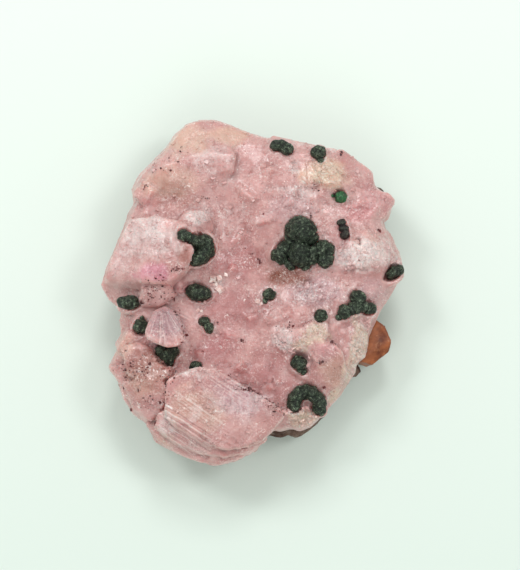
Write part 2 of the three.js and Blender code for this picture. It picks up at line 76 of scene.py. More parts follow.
# Patches of colour on the crust, seen from above: x, y, half width and half depth in millimetres,
# and strength from 0 to 1.
FROST = [
    (-18.0, 8.8, 4.4, 2.4, 0.8), (-15.6, 5.9, 4.8, 2.8, 0.55), (-21.1, 3.9, 2.4, 2.4, 0.4),
    (-8.9, 10.8, 2.2, 1.8, 0.9), (-7.2, 20.6, 4.0, 2.4, 0.62), (-3.8, 10.8, 4.4, 2.4, 0.3),
    (20.8, 15.5, 2.6, 2.4, 0.3), (-8.0, -26.5, 5.0, 1.8, 0.2), (11.9, 19.6, 2.6, 1.4, 0.35),
    (7.0, 19.4, 1.2, 1.6, 0.6), (8.5, 15.3, 2.4, 1.8, 0.5), (4.2, 15.7, 2.4, 0.6, 0.5),
    (18.0, 5.1, 3.2, 2.8, 0.95), (17.8, -10.8, 1.6, 3.0, 0.5), (21.5, 5.9, 2.4, 2.4, 0.72),
    (24.1, 4.3, 1.0, 1.6, 0.7), (14.1, 22.9, 1.6, 0.8, 0.4), (8.6, 23.5, 3.2, 0.8, 0.3),
    (4.9, -9.3, 2.6, 2.0, 0.7), (8.9, -1.7, 2.4, 2.0, 0.4), (-9.1, -15.5, 4.8, 1.2, 0.45),
    (-2.1, -20.0, 4.4, 2.4, 0.5), (-13.4, -23.3, 1.6, 1.8, 0.8), (-9.1, -22.0, 1.2, 1.6, 0.6),
    (-19.7, -15.7, 1.1, 1.3, 0.25), (15.2, 3.9, 1.6, 1.6, 0.6), (-5.7, 0.3, 1.6, 1.6, 0.35),
]
CREAM = [
    (10.4, -8.5, 2.4, 2.0, 0.78), (7.6, -10.5, 2.4, 1.0, 0.6), (17.9, -10.1, 1.9, 4.8, 1.0),
    (15.8, -15.3, 1.2, 2.4, 0.7), (14.2, -18.4, 1.6, 2.0, 0.8), (12.1, 18.4, 3.2, 2.2, 0.6),
    (-14.1, -25.9, 1.8, 1.6, 0.5), (8.8, -22.0, 3.2, 1.6, 0.7), (19.0, -12.5, 1.2, 1.6, 0.8),
]
ROSE = [
    (-1.4, 4.3, 3.6, 3.2, 0.95), (-3.7, -4.5, 4.8, 4.0, 0.8), (-8.0, -11.3, 2.4, 1.6, 0.9),
    (-0.2, -15.3, 4.8, 2.8, 0.9), (5.7, -17.2, 2.8, 2.4, 0.7), (2.9, -12.1, 2.4, 2.0, 0.5),
    (17.6, 12.8, 3.0, 1.8, 0.2), (21.2, 14.9, 2.0, 2.0, 0.1), (14.4, 7.6, 1.6, 2.4, 0.5),
    (-16.1, 14.1, 4.0, 1.0, 0.4), (-0.6, 21.0, 3.2, 2.4, 0.3), (1.4, -3.3, 3.2, 2.0, 0.5),
    (-16.7, -3.3, 2.4, 1.2, 0.3), (-16.5, -13.0, 4.0, 3.0, 0.45), (-5.0, -10.0, 3.5, 2.5, 0.85),
    (-9.5, -21.5, 4.0, 3.0, 0.35), (-15.0, -17.5, 2.0, 2.5, 0.45),
]
MAGENTA = [(-16.2, 1.3, 2.8, 1.3, 0.9), (-2.1, -19.5, 2.4, 2.4, 0.25)]
BLUSH = [
    (17.3, 12.1, 2.8, 1.7, 0.65), (20.5, 14.8, 2.8, 2.6, 0.45), (-12.2, -0.4, 2.4, 1.0, 0.45),
    (-5.5, 3.5, 2.4, 1.6, 0.3), (-6.0, -9.5, 2.4, 2.0, 0.35), (12.2, -11.4, 1.8, 1.8, 0.4),
    (-10.1, -24.2, 2.4, 1.6, 0.5),
]
PEACH = [
    (-11.0, 24.3, 4.0, 3.2, 0.6), (-14.1, 16.9, 4.8, 2.4, 0.45), (-3.8, 25.2, 3.2, 2.0, 0.6),
    (-16.9, -15.3, 3.6, 3.6, 0.35), (-8.7, -21.2, 4.4, 3.2, 0.6), (12.1, 18.2, 3.8, 2.8, 0.85),
    (19.5, 5.5, 3.0, 3.0, 0.3), (-20.9, -10.1, 1.6, 2.4, 0.4), (13.8, -14.6, 2.2, 2.4, 0.4),
]
LILAC = [
    (10.8, -1.3, 4.8, 2.4, 0.6), (-2.1, -18.8, 4.8, 3.6, 0.6), (-14.3, -6.9, 3.2, 3.2, 1.0),
    (12.4, -11.2, 2.0, 1.6, 0.35), (19.5, -1.3, 3.6, 2.4, 0.4), (6.5, 12.4, 4.0, 2.4, 0.35),
]
TAN = [
    (-10.8, 3.9, 1.0, 2.0, 0.6), (5.7, 1.4, 3.4, 1.5, 0.95), (1.8, 4.3, 2.4, 2.4, 0.2),
    (-17.2, -14.0, 3.6, 3.4, 0.5), (-12.7, 15.0, 4.0, 2.2, 0.42), (-14.3, -7.0, 3.2, 3.2, 0.12),
    (13.2, -14.0, 2.4, 3.0, 0.38), (-9.0, -20.5, 3.6, 2.6, 0.14), (8.0, -21.6, 2.4, 1.2, 0.4),
]

# Where the crust's shape changes, in the same five numbers: calm cleavage faces, growth lines,
# spots of painted highlight, blocky crystals, softened slopes, ledges, and the rim drawn back from
# the rock.
CALM = [
    (-16.5, 5.0, 7.0, 6.0, 0.7), (-4.5, -21.5, 9.0, 5.0, 0.85), (-9.5, 20.5, 8.5, 6.0, 0.9),
    (12.6, -14.0, 3.0, 4.0, 0.8), (20.5, 14.0, 3.5, 3.0, 0.6), (-2.0, 6.0, 6.0, 6.0, 0.45),
    (-3.0, -8.0, 5.0, 5.0, 0.35), (-14.3, -7.3, 3.4, 3.6, 0.7), (-10.8, 4.0, 1.4, 2.6, 0.9),
]
STRIATED = [
    (-14.3, -7.6, 3.3, 3.6, 1.0), (-9.0, -22.5, 5.0, 3.6, 1.0), (-4.5, -18.5, 4.0, 3.0, 0.6),
    (-12.5, -25.5, 4.0, 2.5, 0.9), (18.2, -10.6, 1.8, 4.4, 0.75), (16.2, -15.6, 1.4, 2.4, 0.8),
    (12.4, -11.6, 2.2, 2.2, 0.5),
]
# Spots of painted highlight, drawn as short white streaks along the growth lines.
PAINTED_HIGHLIGHT_SPOTS = [
    (-13.3, -21.3, 0.7, 1.2, 0.9), (-9.6, -19.9, 0.8, 1.3, 0.6), (-11.3, -23.2, 1.6, 0.5, 0.7),
    (-18.3, -14.4, 0.6, 0.6, 0.6), (-8.0, -26.0, 2.2, 0.35, 0.5), (-17.2, 9.6, 1.2, 0.5, 0.6),
    (-20.2, 8.0, 0.6, 0.9, 0.5), (-14.5, 7.6, 0.8, 0.5, 0.5), (19.3, 6.3, 0.7, 0.7, 0.5),
    (17.4, 3.9, 0.5, 0.5, 0.5), (8.6, 17.5, 0.5, 1.0, 0.5), (3.2, -0.9, 0.6, 0.5, 0.6),
    (-6.6, -18.6, 1.4, 0.3, 0.4), (21.8, 5.0, 0.5, 0.8, 0.4),
]
BLOCKY = [
    (18.0, 5.1, 3.4, 3.4, 1.0), (21.5, 5.0, 2.6, 3.4, 1.0), (24.0, 4.3, 1.2, 1.8, 0.8),
    (8.5, 15.3, 2.4, 2.2, 0.4), (-8.9, 10.8, 2.2, 1.8, 0.4), (4.9, -9.3, 2.6, 2.0, 0.5),
    (10.4, -8.5, 2.4, 2.0, 0.5), (-15.0, -2.0, 2.4, 1.6, 0.4), (13.0, 19.0, 3.0, 3.0, 0.4),
    (17.8, -10.1, 1.8, 4.4, 0.4),
]
SOFTENED = [
    (-5.5, 16.0, 2.4, 1.6, 0.9), (-9.5, 14.8, 2.8, 1.6, 0.95), (-13.8, 13.9, 3.0, 1.6, 0.95),
    (-2.9, 24.2, 1.6, 2.0, 0.7), (-4.8, 16.6, 2.0, 1.6, 0.9), (19.2, 4.6, 4.6, 4.6, 0.95),
    (15.5, 4.5, 1.0, 3.0, 0.5), (8.0, -9.6, 5.4, 2.8, 0.8), (17.8, -10.1, 2.6, 4.8, 0.7),
    (14.4, -17.6, 3.0, 3.0, 0.7), (12.5, 18.5, 3.4, 3.0, 0.5), (-8.0, -25.6, 6.5, 2.2, 0.7),
    (16.5, 15.7, 4.5, 1.4, 0.9), (-21.0, -0.6, 3.0, 2.2, 0.8), (11.0, -15.0, 1.6, 2.4, 0.8),
]
LEDGES = [
    (-12.0, -25.0, 4.6, 3.0, 1.0), (-6.5, -27.0, 5.5, 2.2, 1.0), (-1.0, -26.8, 4.0, 2.0, 0.8),
    (-14.5, -22.0, 1.8, 2.4, 0.7),
]
BARE_ROCK = [
    (2.6, -25.3, 2.2, 1.5, 0.5), (5.4, -24.4, 2.4, 1.5, 0.5), (20.9, 20.2, 1.2, 1.2, 0.45),
    (22.2, 18.2, 1.2, 1.2, 0.45), (22.9, 12.0, 1.0, 1.8, 0.25), (18.6, -13.0, 1.2, 1.2, 0.35),
    (-12.6, 28.4, 0.9, 0.9, 0.5), (-16.4, -22.3, 0.8, 0.8, 0.5),
]
# Where the rock reaches out past the crust. A strength below 0 draws it in.
ROCK_EDGE = [
    (2.6, -22.8, 2.6, 3.2, 0.5), (5.4, -22.4, 2.4, 3.0, 0.3), (10.0, -20.5, 2.6, 3.0, -0.5),
    (20.6, 19.6, 2.0, 2.0, 0.5), (22.0, 17.8, 2.0, 2.0, 0.5), (-12.4, 27.4, 1.6, 2.0, 0.7),
    (-15.8, -21.6, 1.6, 1.6, 0.6), (18.0, -12.6, 1.5, 1.5, 0.3),
]

# Dark grains: x, y, spread along x and along y, and how many.
GRAINS = [
    (-17.5, 16.3, 0.5, 0.3, 5), (-11.6, 22.7, 0.2, 0.4, 3), (-7.7, 14.5, 0.6, 0.2, 6),
    (-14.1, 19.4, 2.4, 1.6, 6), (2.0, 11.5, 0.3, 0.1, 4), (9.8, 11.1, 0.1, 0.3, 3),
    (10.7, 15.8, 0.5, 0.4, 6), (-12.0, 1.6, 1.1, 0.3, 14), (-15.3, -1.3, 2.0, 1.6, 34),
    (-13.6, -13.7, 1.2, 0.8, 16), (-13.8, -16.1, 1.2, 2.4, 18), (-19.1, -14.5, 2.4, 2.4, 30),
    (-3.7, -15.3, 0.2, 0.3, 3), (-0.2, -18.0, 1.8, 0.6, 18), (3.1, -19.8, 1.6, 0.8, 14),
    (5.7, -7.3, 2.4, 0.8, 10), (-1.5, -9.2, 0.3, 0.2, 4), (-11.1, -8.5, 0.4, 1.6, 10),
    (-12.1, -4.9, 0.4, 0.8, 5), (1.4, 3.9, 0.3, 0.4, 5), (11.3, -13.1, 0.6, 0.1, 5),
    (13.3, -10.1, 0.4, 0.3, 7), (3.9, -21.2, 0.8, 0.6, 8), (-0.2, -17.2, 0.6, 0.2, 6),
    (21.2, 9.4, 0.3, 0.2, 5), (-15.9, -23.1, 0.2, 0.7, 6), (14.9, 22.3, 0.2, 0.2, 3),
    (-17.3, -19.6, 1.2, 1.2, 8), (-14.2, -19.2, 0.8, 1.6, 10), (-5.9, -6.3, 0.4, 0.2, 3),
    (11.9, -16.6, 0.4, 0.4, 3), (-0.6, 5.9, 1.2, 0.8, 3), (4.5, -10.1, 0.8, 0.4, 4),
]

# Malachite globules, as in the part's source: x, y and radius in millimetres. Each cluster is
# named as its node is, without malachite_.
CLUSTERS = {
    "center": [
        (8.1, 8.7, 2.5), (9.9, 7.5, 1.3), (6.5, 7.7, 1.3), (8.1, 5.4, 1.9), (4.9, 5.2, 1.5),
        (3.7, 5.2, 0.9), (12.0, 5.7, 1.5), (11.9, 4.2, 1.4), (9.9, 4.7, 1.5), (7.7, 3.6, 1.2),
        (6.4, 3.9, 1.0),
    ],
    "west_crescent": [
        (-11.1, 7.9, 1.1), (-9.9, 7.5, 0.9), (-8.9, 6.9, 1.0), (-7.7, 6.7, 1.4),
        (-7.3, 5.4, 1.6), (-8.2, 4.3, 1.4), (-9.3, 3.3, 1.0),
    ],
    "south_crescent": [
        (7.0, -19.6, 1.0), (7.3, -18.7, 1.0), (8.0, -18.0, 1.0), (9.0, -17.6, 1.0),
        (9.9, -17.8, 1.0), (10.6, -18.4, 0.9), (11.1, -19.4, 1.0), (11.2, -20.2, 1.0),
    ],
    "north_crescent": [(4.0, 23.3, 0.7), (5.0, 23.4, 0.8), (5.9, 22.6, 0.8)],
    "east_cluster": [
        (17.4, -2.6, 1.1), (17.1, -4.1, 1.0), (15.4, -5.0, 1.0), (19.2, -4.2, 1.0),
        (16.3, -4.5, 0.8), (18.2, -3.9, 0.7),
    ],
    "oval_bead": [(-9.4, -1.5, 1.2), (-8.5, -1.5, 1.4), (-7.6, -1.6, 1.1)],
    "rim_bead": [(-20.9, -2.9, 1.0), (-19.8, -3.0, 1.2)],
    "pointed_bead": [(-18.2, -6.9, 1.3), (-18.1, -5.9, 0.8)],
    "under_fan": [
        (-13.8, -11.9, 1.5), (-13.3, -13.0, 0.8), (-14.9, -11.2, 0.7), (-12.5, -11.5, 0.8),
    ],
    "hidden_bead": [(-9.1, -13.8, 0.9)],
    "small_pair": [(-7.8, -6.0, 0.8), (-7.1, -7.2, 0.8)],
    "tailed_bead": [(2.8, -2.0, 1.0)],
    "little_bead": [(11.2, -5.5, 1.0)],
    "south_bead": [(7.8, -13.4, 1.3), (8.4, -14.6, 0.7)],
    "dark_pair": [(15.0, 9.8, 0.8), (15.4, 8.6, 0.9)],
    "bright_bead": [(14.6, 14.7, 1.0)],
    "north_bead": [(11.2, 22.0, 1.1)],
    "east_rim_bead": [(23.2, 1.9, 1.2), (24.0, 2.4, 0.9)],
}

# The clusters whose globules aren't round, or have a tail too small for the solid: x, y, half
# sizes along x, y and z in millimetres, and the turn about z in degrees.
SHAPED_BEADS = {
    "center": [
        (8.1, 8.5, 2.65, 2.1, 2.5, 0), (7.8, 9.4, 1.7, 1.6, 1.8, 0),
        (9.6, 7.6, 1.3, 1.3, 1.5, 0), (6.6, 7.6, 1.1, 1.2, 1.5, 0),
        (8.0, 4.9, 2.0, 2.3, 2.0, 0), (10.1, 4.6, 1.0, 1.7, 1.5, -12),
        (11.8, 5.5, 1.4, 1.5, 1.6, 0), (12.6, 5.4, 1.0, 1.3, 1.4, -20),
        (12.1, 3.9, 1.3, 1.3, 1.4, 0),
        (5.4, 5.8, 1.4, 1.3, 1.4, 0), (4.7, 4.8, 1.35, 1.3, 1.3, 0),
        (6.6, 3.3, 0.9, 0.8, 0.9, 0), (8.9, 3.1, 0.8, 0.8, 0.9, 0),
    ],
    "west_crescent": [
        (-11.1, 7.1, 1.05, 0.95, 1.0, 0), (-10.0, 6.6, 0.8, 0.6, 0.8, 0),
        (-9.1, 6.3, 0.95, 0.85, 1.0, 0), (-7.9, 6.3, 1.4, 1.25, 1.4, 0),
        (-7.5, 5.1, 1.45, 1.6, 1.6, 0), (-8.1, 4.0, 1.35, 1.3, 1.4, 0),
        (-9.0, 3.1, 1.1, 0.75, 0.9, 20),
    ],
    "east_cluster": [
        (17.4, -2.2, 1.15, 1.1, 1.15, 0), (17.1, -3.7, 1.2, 1.05, 1.15, 0),
        (15.3, -4.7, 1.0, 1.1, 1.0, 0), (19.5, -3.7, 1.1, 1.05, 1.1, 0),
        (14.4, -5.5, 0.45, 0.4, 0.4, 0), (18.3, -3.6, 0.85, 0.8, 0.9, 0),
        (16.2, -4.3, 0.8, 0.75, 0.9, 0),
    ],
    "oval_bead": [(-8.6, -1.5, 2.1, 1.35, 1.4, -8)],
    "rim_bead": [(-20.3, -2.8, 1.75, 1.15, 1.3, 0)],
    "pointed_bead": [(-18.2, -6.7, 1.3, 1.3, 1.3, 0), (-18.1, -5.5, 0.5, 0.7, 0.6, 0)],
    "under_fan": [
        (-14.6, -10.9, 1.0, 0.9, 1.2, 0), (-12.8, -10.9, 1.0, 0.9, 1.2, 0),
        (-13.7, -11.7, 1.2, 1.3, 1.3, 0), (-13.3, -12.7, 0.65, 0.8, 0.8, 0),
    ],
    "small_pair": [(-7.8, -5.9, 0.85, 0.75, 0.8, 0), (-7.1, -7.1, 0.7, 0.8, 0.8, 20)],
    "tailed_bead": [(2.9, -1.7, 1.0, 0.9, 1.0, 0), (2.3, -2.6, 0.4, 0.55, 0.45, 0)],
    "little_bead": [(11.3, -5.3, 0.95, 0.9, 1.0, 0), (11.1, -6.2, 0.4, 0.45, 0.4, 0)],
    "south_bead": [
        (7.8, -13.0, 1.3, 1.2, 1.3, 0), (8.5, -14.4, 0.6, 0.5, 0.6, 0),
        (7.9, -14.0, 0.6, 0.5, 0.6, 0),
    ],
    "dark_pair": [
        (15.0, 10.1, 0.6, 0.7, 0.7, 0), (15.2, 9.2, 0.8, 0.7, 0.8, 0),
        (15.3, 8.2, 0.75, 0.8, 0.8, 0),
    ],
    "bright_bead": [(14.7, 14.6, 0.95, 0.9, 0.95, 0), (13.5, 14.8, 0.6, 0.35, 0.4, 0)],
    "north_bead": [(11.2, 22.1, 1.15, 1.0, 1.1, 0), (11.4, 21.0, 0.45, 0.5, 0.5, 0)],
    "east_rim_bead": [(23.7, 2.7, 1.6, 0.95, 1.2, 32)],
}
# Clusters whose globules have grown into one body, with no seam between them.
ONE_BODY = ("oval_bead", "rim_bead", "pointed_bead", "under_fan")

# Clear crystals on the open floor of the crust: x, y and size.
CLEAR_CRYSTALS = [
    (-6.2, 1.3, 1.0), (-5.2, 1.1, 0.9), (-5.4, -0.8, 1.1), (-6.0, 0.1, 0.8), (-4.4, 1.7, 0.6),
    (-6.6, 0.6, 0.5), (-8.9, -4.1, 0.5), (-8.3, -4.4, 0.4), (0.9, -2.6, 0.7), (1.6, -3.1, 0.5),
]


def hashed(cells, salt):
    """A repeatable number from 0 to 1 for each whole-numbered cell. Each salt gives its own set."""
    c = cells.astype(np.int64)
    n = (c[:, 0] * 73856093) ^ (c[:, 1] * 19349663) ^ (c[:, 2] * 83492791) ^ (salt * 40503)
    n = n & 0xFFFFFFFF
    for shift, factor in ((16, 0x7FEB352D), (15, 0x846CA68B)):
        n = ((n ^ (n >> shift)) * factor) & 0xFFFFFFFF
    return (n ^ (n >> 16)) / 4294967295.0


# A turn that keeps the noise's own grid from showing.
OBLIQUE = np.array([[0.36, 0.48, -0.8], [-0.8, 0.6, 0.0], [0.48, 0.64, 0.6]])


def noise(points, size, salt):
    """Smooth noise from -1 to 1 with features about size across."""
    q = points @ OBLIQUE / size
    base = np.floor(q)
    part = q - base
    part = part * part * (3 - 2 * part)
    total = np.zeros(len(points))
    for corner in itertools.product((0, 1), repeat=3):
        share = np.prod(np.where(corner, part, 1 - part), axis=1)
        total += share * hashed(base + corner, salt)
    return 2 * total - 1


def smoothstep(low, high, values):
    """0 at low, 1 at high and an even curve between. Low may be the larger."""
    t = np.clip((values - low) / (high - low), 0, 1)
    return t * t * (3 - 2 * t)


def unit(vectors):
    """The vectors at length 1."""
    return vectors / np.maximum(np.linalg.norm(vectors, axis=-1, keepdims=True), 1e-9)


# Meshes are handled as arrays in millimetres.
def arrays_of(mesh):
    """A mesh's points and triangles."""
    points = np.empty(len(mesh.vertices) * 3, np.float64)
    mesh.vertices.foreach_get("co", points)
    mesh.calc_loop_triangles()
    faces = np.empty(len(mesh.loop_triangles) * 3, np.int64)
    mesh.loop_triangles.foreach_get("vertices", faces)
    return points.reshape(-1, 3) / MM, faces.reshape(-1, 3)


def mesh_from(name, points, faces):
    """A mesh in metres from points in millimetres."""
    mesh = bpy.data.meshes.new(name)
    mesh.from_pydata((points * MM).tolist(), [], faces.tolist())
    mesh.update()
    return mesh


def remeshed(solids, voxel):
    """One skin of even squares round some closed solids, given as points and faces."""
    points = np.concatenate([p for p, _ in solids])
    starts = np.cumsum([0] + [len(p) for p, _ in solids])
    faces = np.concatenate([f + start for (_, f), start in zip(solids, starts)])
    rough = bpy.data.objects.new("rough", mesh_from("rough", points, faces))
    bpy.context.scene.collection.objects.link(rough)
    skin = rough.modifiers.new("skin", "REMESH")
    skin.mode = "VOXEL"
    skin.voxel_size = voxel * MM
    graph = bpy.context.evaluated_depsgraph_get()
    mesh = bpy.data.meshes.new_from_object(rough.evaluated_get(graph))
    out = np.empty(len(mesh.vertices) * 3, np.float64)
    mesh.vertices.foreach_get("co", out)
    quads = np.empty(len(mesh.loops), np.int64)
    mesh.loops.foreach_get("vertex_index", quads)
    bpy.data.meshes.remove(mesh)
    bpy.data.objects.remove(rough)
    return out.reshape(-1, 3) / MM, quads.reshape(-1, 4)


def edges_of(quads):
    """Each edge of a skin of quads once, as a pair of points."""
    pairs = np.concatenate([quads[:, [k, (k + 1) % 4]] for k in range(4)])
    return np.unique(np.sort(pairs, axis=1), axis=0)


def normals_of(points, quads):
    """Smooth outward normals of a skin of quads."""
    a, b, c, d = (points[quads[:, k]] for k in range(4))
    across = np.cross(c - a, d - b)
    total = np.stack(
        [
            sum(np.bincount(quads[:, k], across[:, axis], len(points)) for k in range(4))
            for axis in range(3)
        ],
        axis=1,
    )
    return unit(total)


def smoothed(points, edges, rounds, share=0.5):
    """Points moved towards the mean of their neighbours."""
    count = np.bincount(edges.ravel(), minlength=len(points))
    for _ in range(rounds):
        mean = np.stack(
            [
                np.bincount(edges[:, 0], points[edges[:, 1], axis], len(points))
                + np.bincount(edges[:, 1], points[edges[:, 0], axis], len(points))
                for axis in range(points.shape[1])
            ],
            axis=1,
        )
        points = points + share * (mean / count[:, None] - points)
    return points


def crystal_relief(points, normals, spacing, salt, steepness=0.8, tilt=0.5):
    """Height above the surface of a bed of rhombohedra, one seeded in each cell of a grid.

    Steepness is how squarely a crystal's three faces look along its axis: 1 would be flat.
    """
    cells = np.floor(points / spacing + 0.37 * salt).astype(np.int64)
    lowest = cells.min(axis=0) - 1
    span = cells.max(axis=0) - lowest + 2

    def key(grid):
        local = grid - lowest
        return (local[:, 0] * span[1] + local[:, 1]) * span[2] + local[:, 2]

    keys = key(cells)
    order = np.lexsort((hashed(np.round(points * 50), salt), keys))
    filled, first = np.unique(keys[order], return_index=True)
    chosen = order[first]
    draw = [hashed(cells[chosen], salt + k) for k in range(5)]
    jitter = np.stack(draw[:3], axis=1) - 0.5
    axis = unit(normals[chosen] + 2 * tilt * jitter)
    side = unit(np.cross(axis, [0.31, 0.95, 0.05]))
    third = np.cross(axis, side)
    rise = spacing * (0.1 + 0.35 * draw[3])
    slope = math.sqrt(1 - steepness**2)
    best = np.full(len(points), -spacing)
    for step in itertools.product((-1, 0, 1), repeat=3):
        wanted = key(cells + step)
        slot = np.minimum(np.searchsorted(filled, wanted), len(filled) - 1)
        found = filled[slot] == wanted
        offset = points[found] - points[chosen][slot[found]]
        near = slot[found]
        height = np.full(len(offset), np.inf)
        for k in range(3):
            turn = 2 * math.pi * (k / 3 + draw[4][near][:, None])
            lean = np.cos(turn) * side[near] + np.sin(turn) * third[near]
            face = steepness * axis[near] + slope * lean
            facing = np.maximum(np.sum(face * normals[found], axis=1), 0.25)
            over = rise[near] * steepness - np.sum(face * offset, axis=1)
            height = np.minimum(height, over / facing)
        best[found] = np.maximum(best[found], height)
    best = np.clip(best, -0.5 * spacing, 0.5 * spacing)
    return best - best.mean()


def knobbly(points, spacing, salt):
    """Height, from 0 to 1, of little round knobs crowded over a skin."""
    order = np.argsort(hashed(np.round(points * 50), salt))
    cells = np.floor(points[order] / spacing + 0.37 * salt)
    seeds = points[order[np.unique(cells, axis=0, return_index=True)[1]]]
    nearest = np.full(len(points), np.inf)
    for seed in seeds:
        nearest = np.minimum(nearest, np.sum((points - seed) ** 2, axis=1))
    return np.sqrt(np.maximum(1 - nearest / (0.8 * spacing) ** 2, 0))


def patches(points, spots, salt, ragged=0.3):
    """How strongly each point lies in some soft-edged, ragged spots seen from above."""
    left = np.ones(len(points))
    fray = ragged * noise(points, 1.7, salt) + 0.5 * ragged * noise(points, 0.7, salt + 1)
    for x, y, half_width, half_depth, strength in spots:
        away = np.hypot((points[:, 0] - x) / half_width, (points[:, 1] - y) / half_depth)
        left *= 1 - strength * smoothstep(1.35, 0.55, away + fray)
    return 1 - left


def calmness(points):
    return patches(points, CALM, 90)


def blockiness(points):
    return patches(points, BLOCKY, 97)


def ledginess(points):
    return patches(points, LEDGES, 96)


def store(mesh, name, values):
    """A number at each point, for a material to read."""
    attribute = mesh.attributes.new(name, "FLOAT", "POINT")
    attribute.data.foreach_set("value", values.astype(np.float32))


def piece(name, mesh, material, smooth=True):
    """A finished piece that rides on the specimen."""
    made = bpy.data.objects.new(name, mesh)
    bpy.context.scene.collection.objects.link(made)
    mesh.materials.append(material)
    if smooth:
        mesh.shade_smooth()
    else:
        mesh.shade_flat()
    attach(made, "root")
    return made


class Signal:
    """A socket's value. Arithmetic on it adds Math nodes to its material."""

    def __init__(self, paint, socket):
        self.paint = paint
        self.socket = socket

    def _math(self, operation, first, second=0.0, clamp=False):
        settings = {"operation": operation, "use_clamp": clamp}
        return self.paint.node("ShaderNodeMath", settings, {0: first, 1: second})

    def __add__(self, other):
        return self._math("ADD", self, other)

    __radd__ = __add__

    def __sub__(self, other):
        return self._math("SUBTRACT", self, other)

    def __rsub__(self, other):
        return self._math("SUBTRACT", other, self)

    def __mul__(self, other):
        return self._math("MULTIPLY", self, other)

    __rmul__ = __mul__

    def __truediv__(self, other):
        return self._math("DIVIDE", self, other)

    def clamped(self):
        return self._math("ADD", self, 0.0, clamp=True)

    def between(self, low, high):
        """0 below low, 1 above high, and in proportion between."""
        return ((self - low) / (high - low)).clamped()


class Paint:
    """A material, and the one way to add nodes to it."""

    def __init__(self, name, **constants):
        self.material = bpy.data.materials.new(name)
        self.material.use_nodes = True
        self.tree = self.material.node_tree
        self.shader = self.tree.nodes["Principled BSDF"]
        self.place = self.node("ShaderNodeTexCoord", output="Object")
        for socket, value in constants.items():
            self.shader.inputs[socket.replace("_", " ")].default_value = value

    def node(self, kind, settings=None, inputs=None, output=0):
        made = self.tree.nodes.new(kind)
        for setting, value in (settings or {}).items():
            setattr(made, setting, value)
        for socket, value in (inputs or {}).items():
            self.feed(made.inputs[socket], value)
        return Signal(self, made.outputs[output])

    def feed(self, socket, value):
        if isinstance(value, Signal):
            self.tree.links.new(value.socket, socket)
        else:
            socket.default_value = value

    def noise(self, size, detail=2.0, roughness=0.5, distortion=0.0):
        """Noise from 0 to 1 with features about size millimetres across."""
        inputs = {
            "Vector": self.place, "Scale": 1 / (size * MM), "Detail": detail,
            "Roughness": roughness, "Distortion": distortion,
        }
        return self.node("ShaderNodeTexNoise", None, inputs)

    def cells(self, size, output="Distance"):
        """Cells about size millimetres across: how far off, or where, the nearest middle is."""
        inputs = {"Vector": self.place, "Scale": 1 / (size * MM)}
        return self.node("ShaderNodeTexVoronoi", {"feature": "F1"}, inputs, output)

    def vector(self, operation, first, second, output="Vector"):
        settings = {"operation": operation}
        return self.node("ShaderNodeVectorMath", settings, {0: first, 1: second}, output)

    def facets(self, size, steepness):
        """Height in metres of flat little faces, each tilted its own way."""
        away = self.vector("SUBTRACT", self.place, self.cells(size, output="Position"))
        slope = self.vector("SUBTRACT", self.cells(size, output="Color"), (0.5, 0.5, 0.5))
        return self.vector("DOT_PRODUCT", away, slope, "Value") * steepness

    def lines(self, name, width):
        """Noise from 0 to 1 in lines across a stored distance in millimetres."""
        inputs = {"W": self.stored(name), "Scale": 1 / width, "Detail": 3.0, "Roughness": 0.6}
        return self.node("ShaderNodeTexNoise", {"noise_dimensions": "1D"}, inputs)

    def stored(self, name):
        return self.node("ShaderNodeAttribute", {"attribute_name": name}, output="Fac")

    def tint(self, share, low, high):
        """A colour between two: the first where share is 0, the second where it is 1."""
        inputs = {0: share, 6: low, 7: high}
        return self.node("ShaderNodeMix", {"data_type": "RGBA"}, inputs, output=2)

    def bump(self, height, depth, strength=1.0):
        """A normal from a height, where a height of 1 is depth millimetres."""
        inputs = {"Height": height, "Distance": depth * MM, "Strength": strength}
        return self.node("ShaderNodeBump", None, inputs)

    def finish(self, **links):
        for socket, value in links.items():
            self.feed(self.shader.inputs[socket.replace("_", " ")], value)
        return self.material


def colour(red, green, blue):
    """A linear colour from the 0 to 255 values of a screen."""
    linear = [
        ((value / 255 + 0.055) / 1.055) ** 2.4 if value > 10 else value / 3294
        for value in (red, green, blue)
    ]
    return (*linear, 1.0)


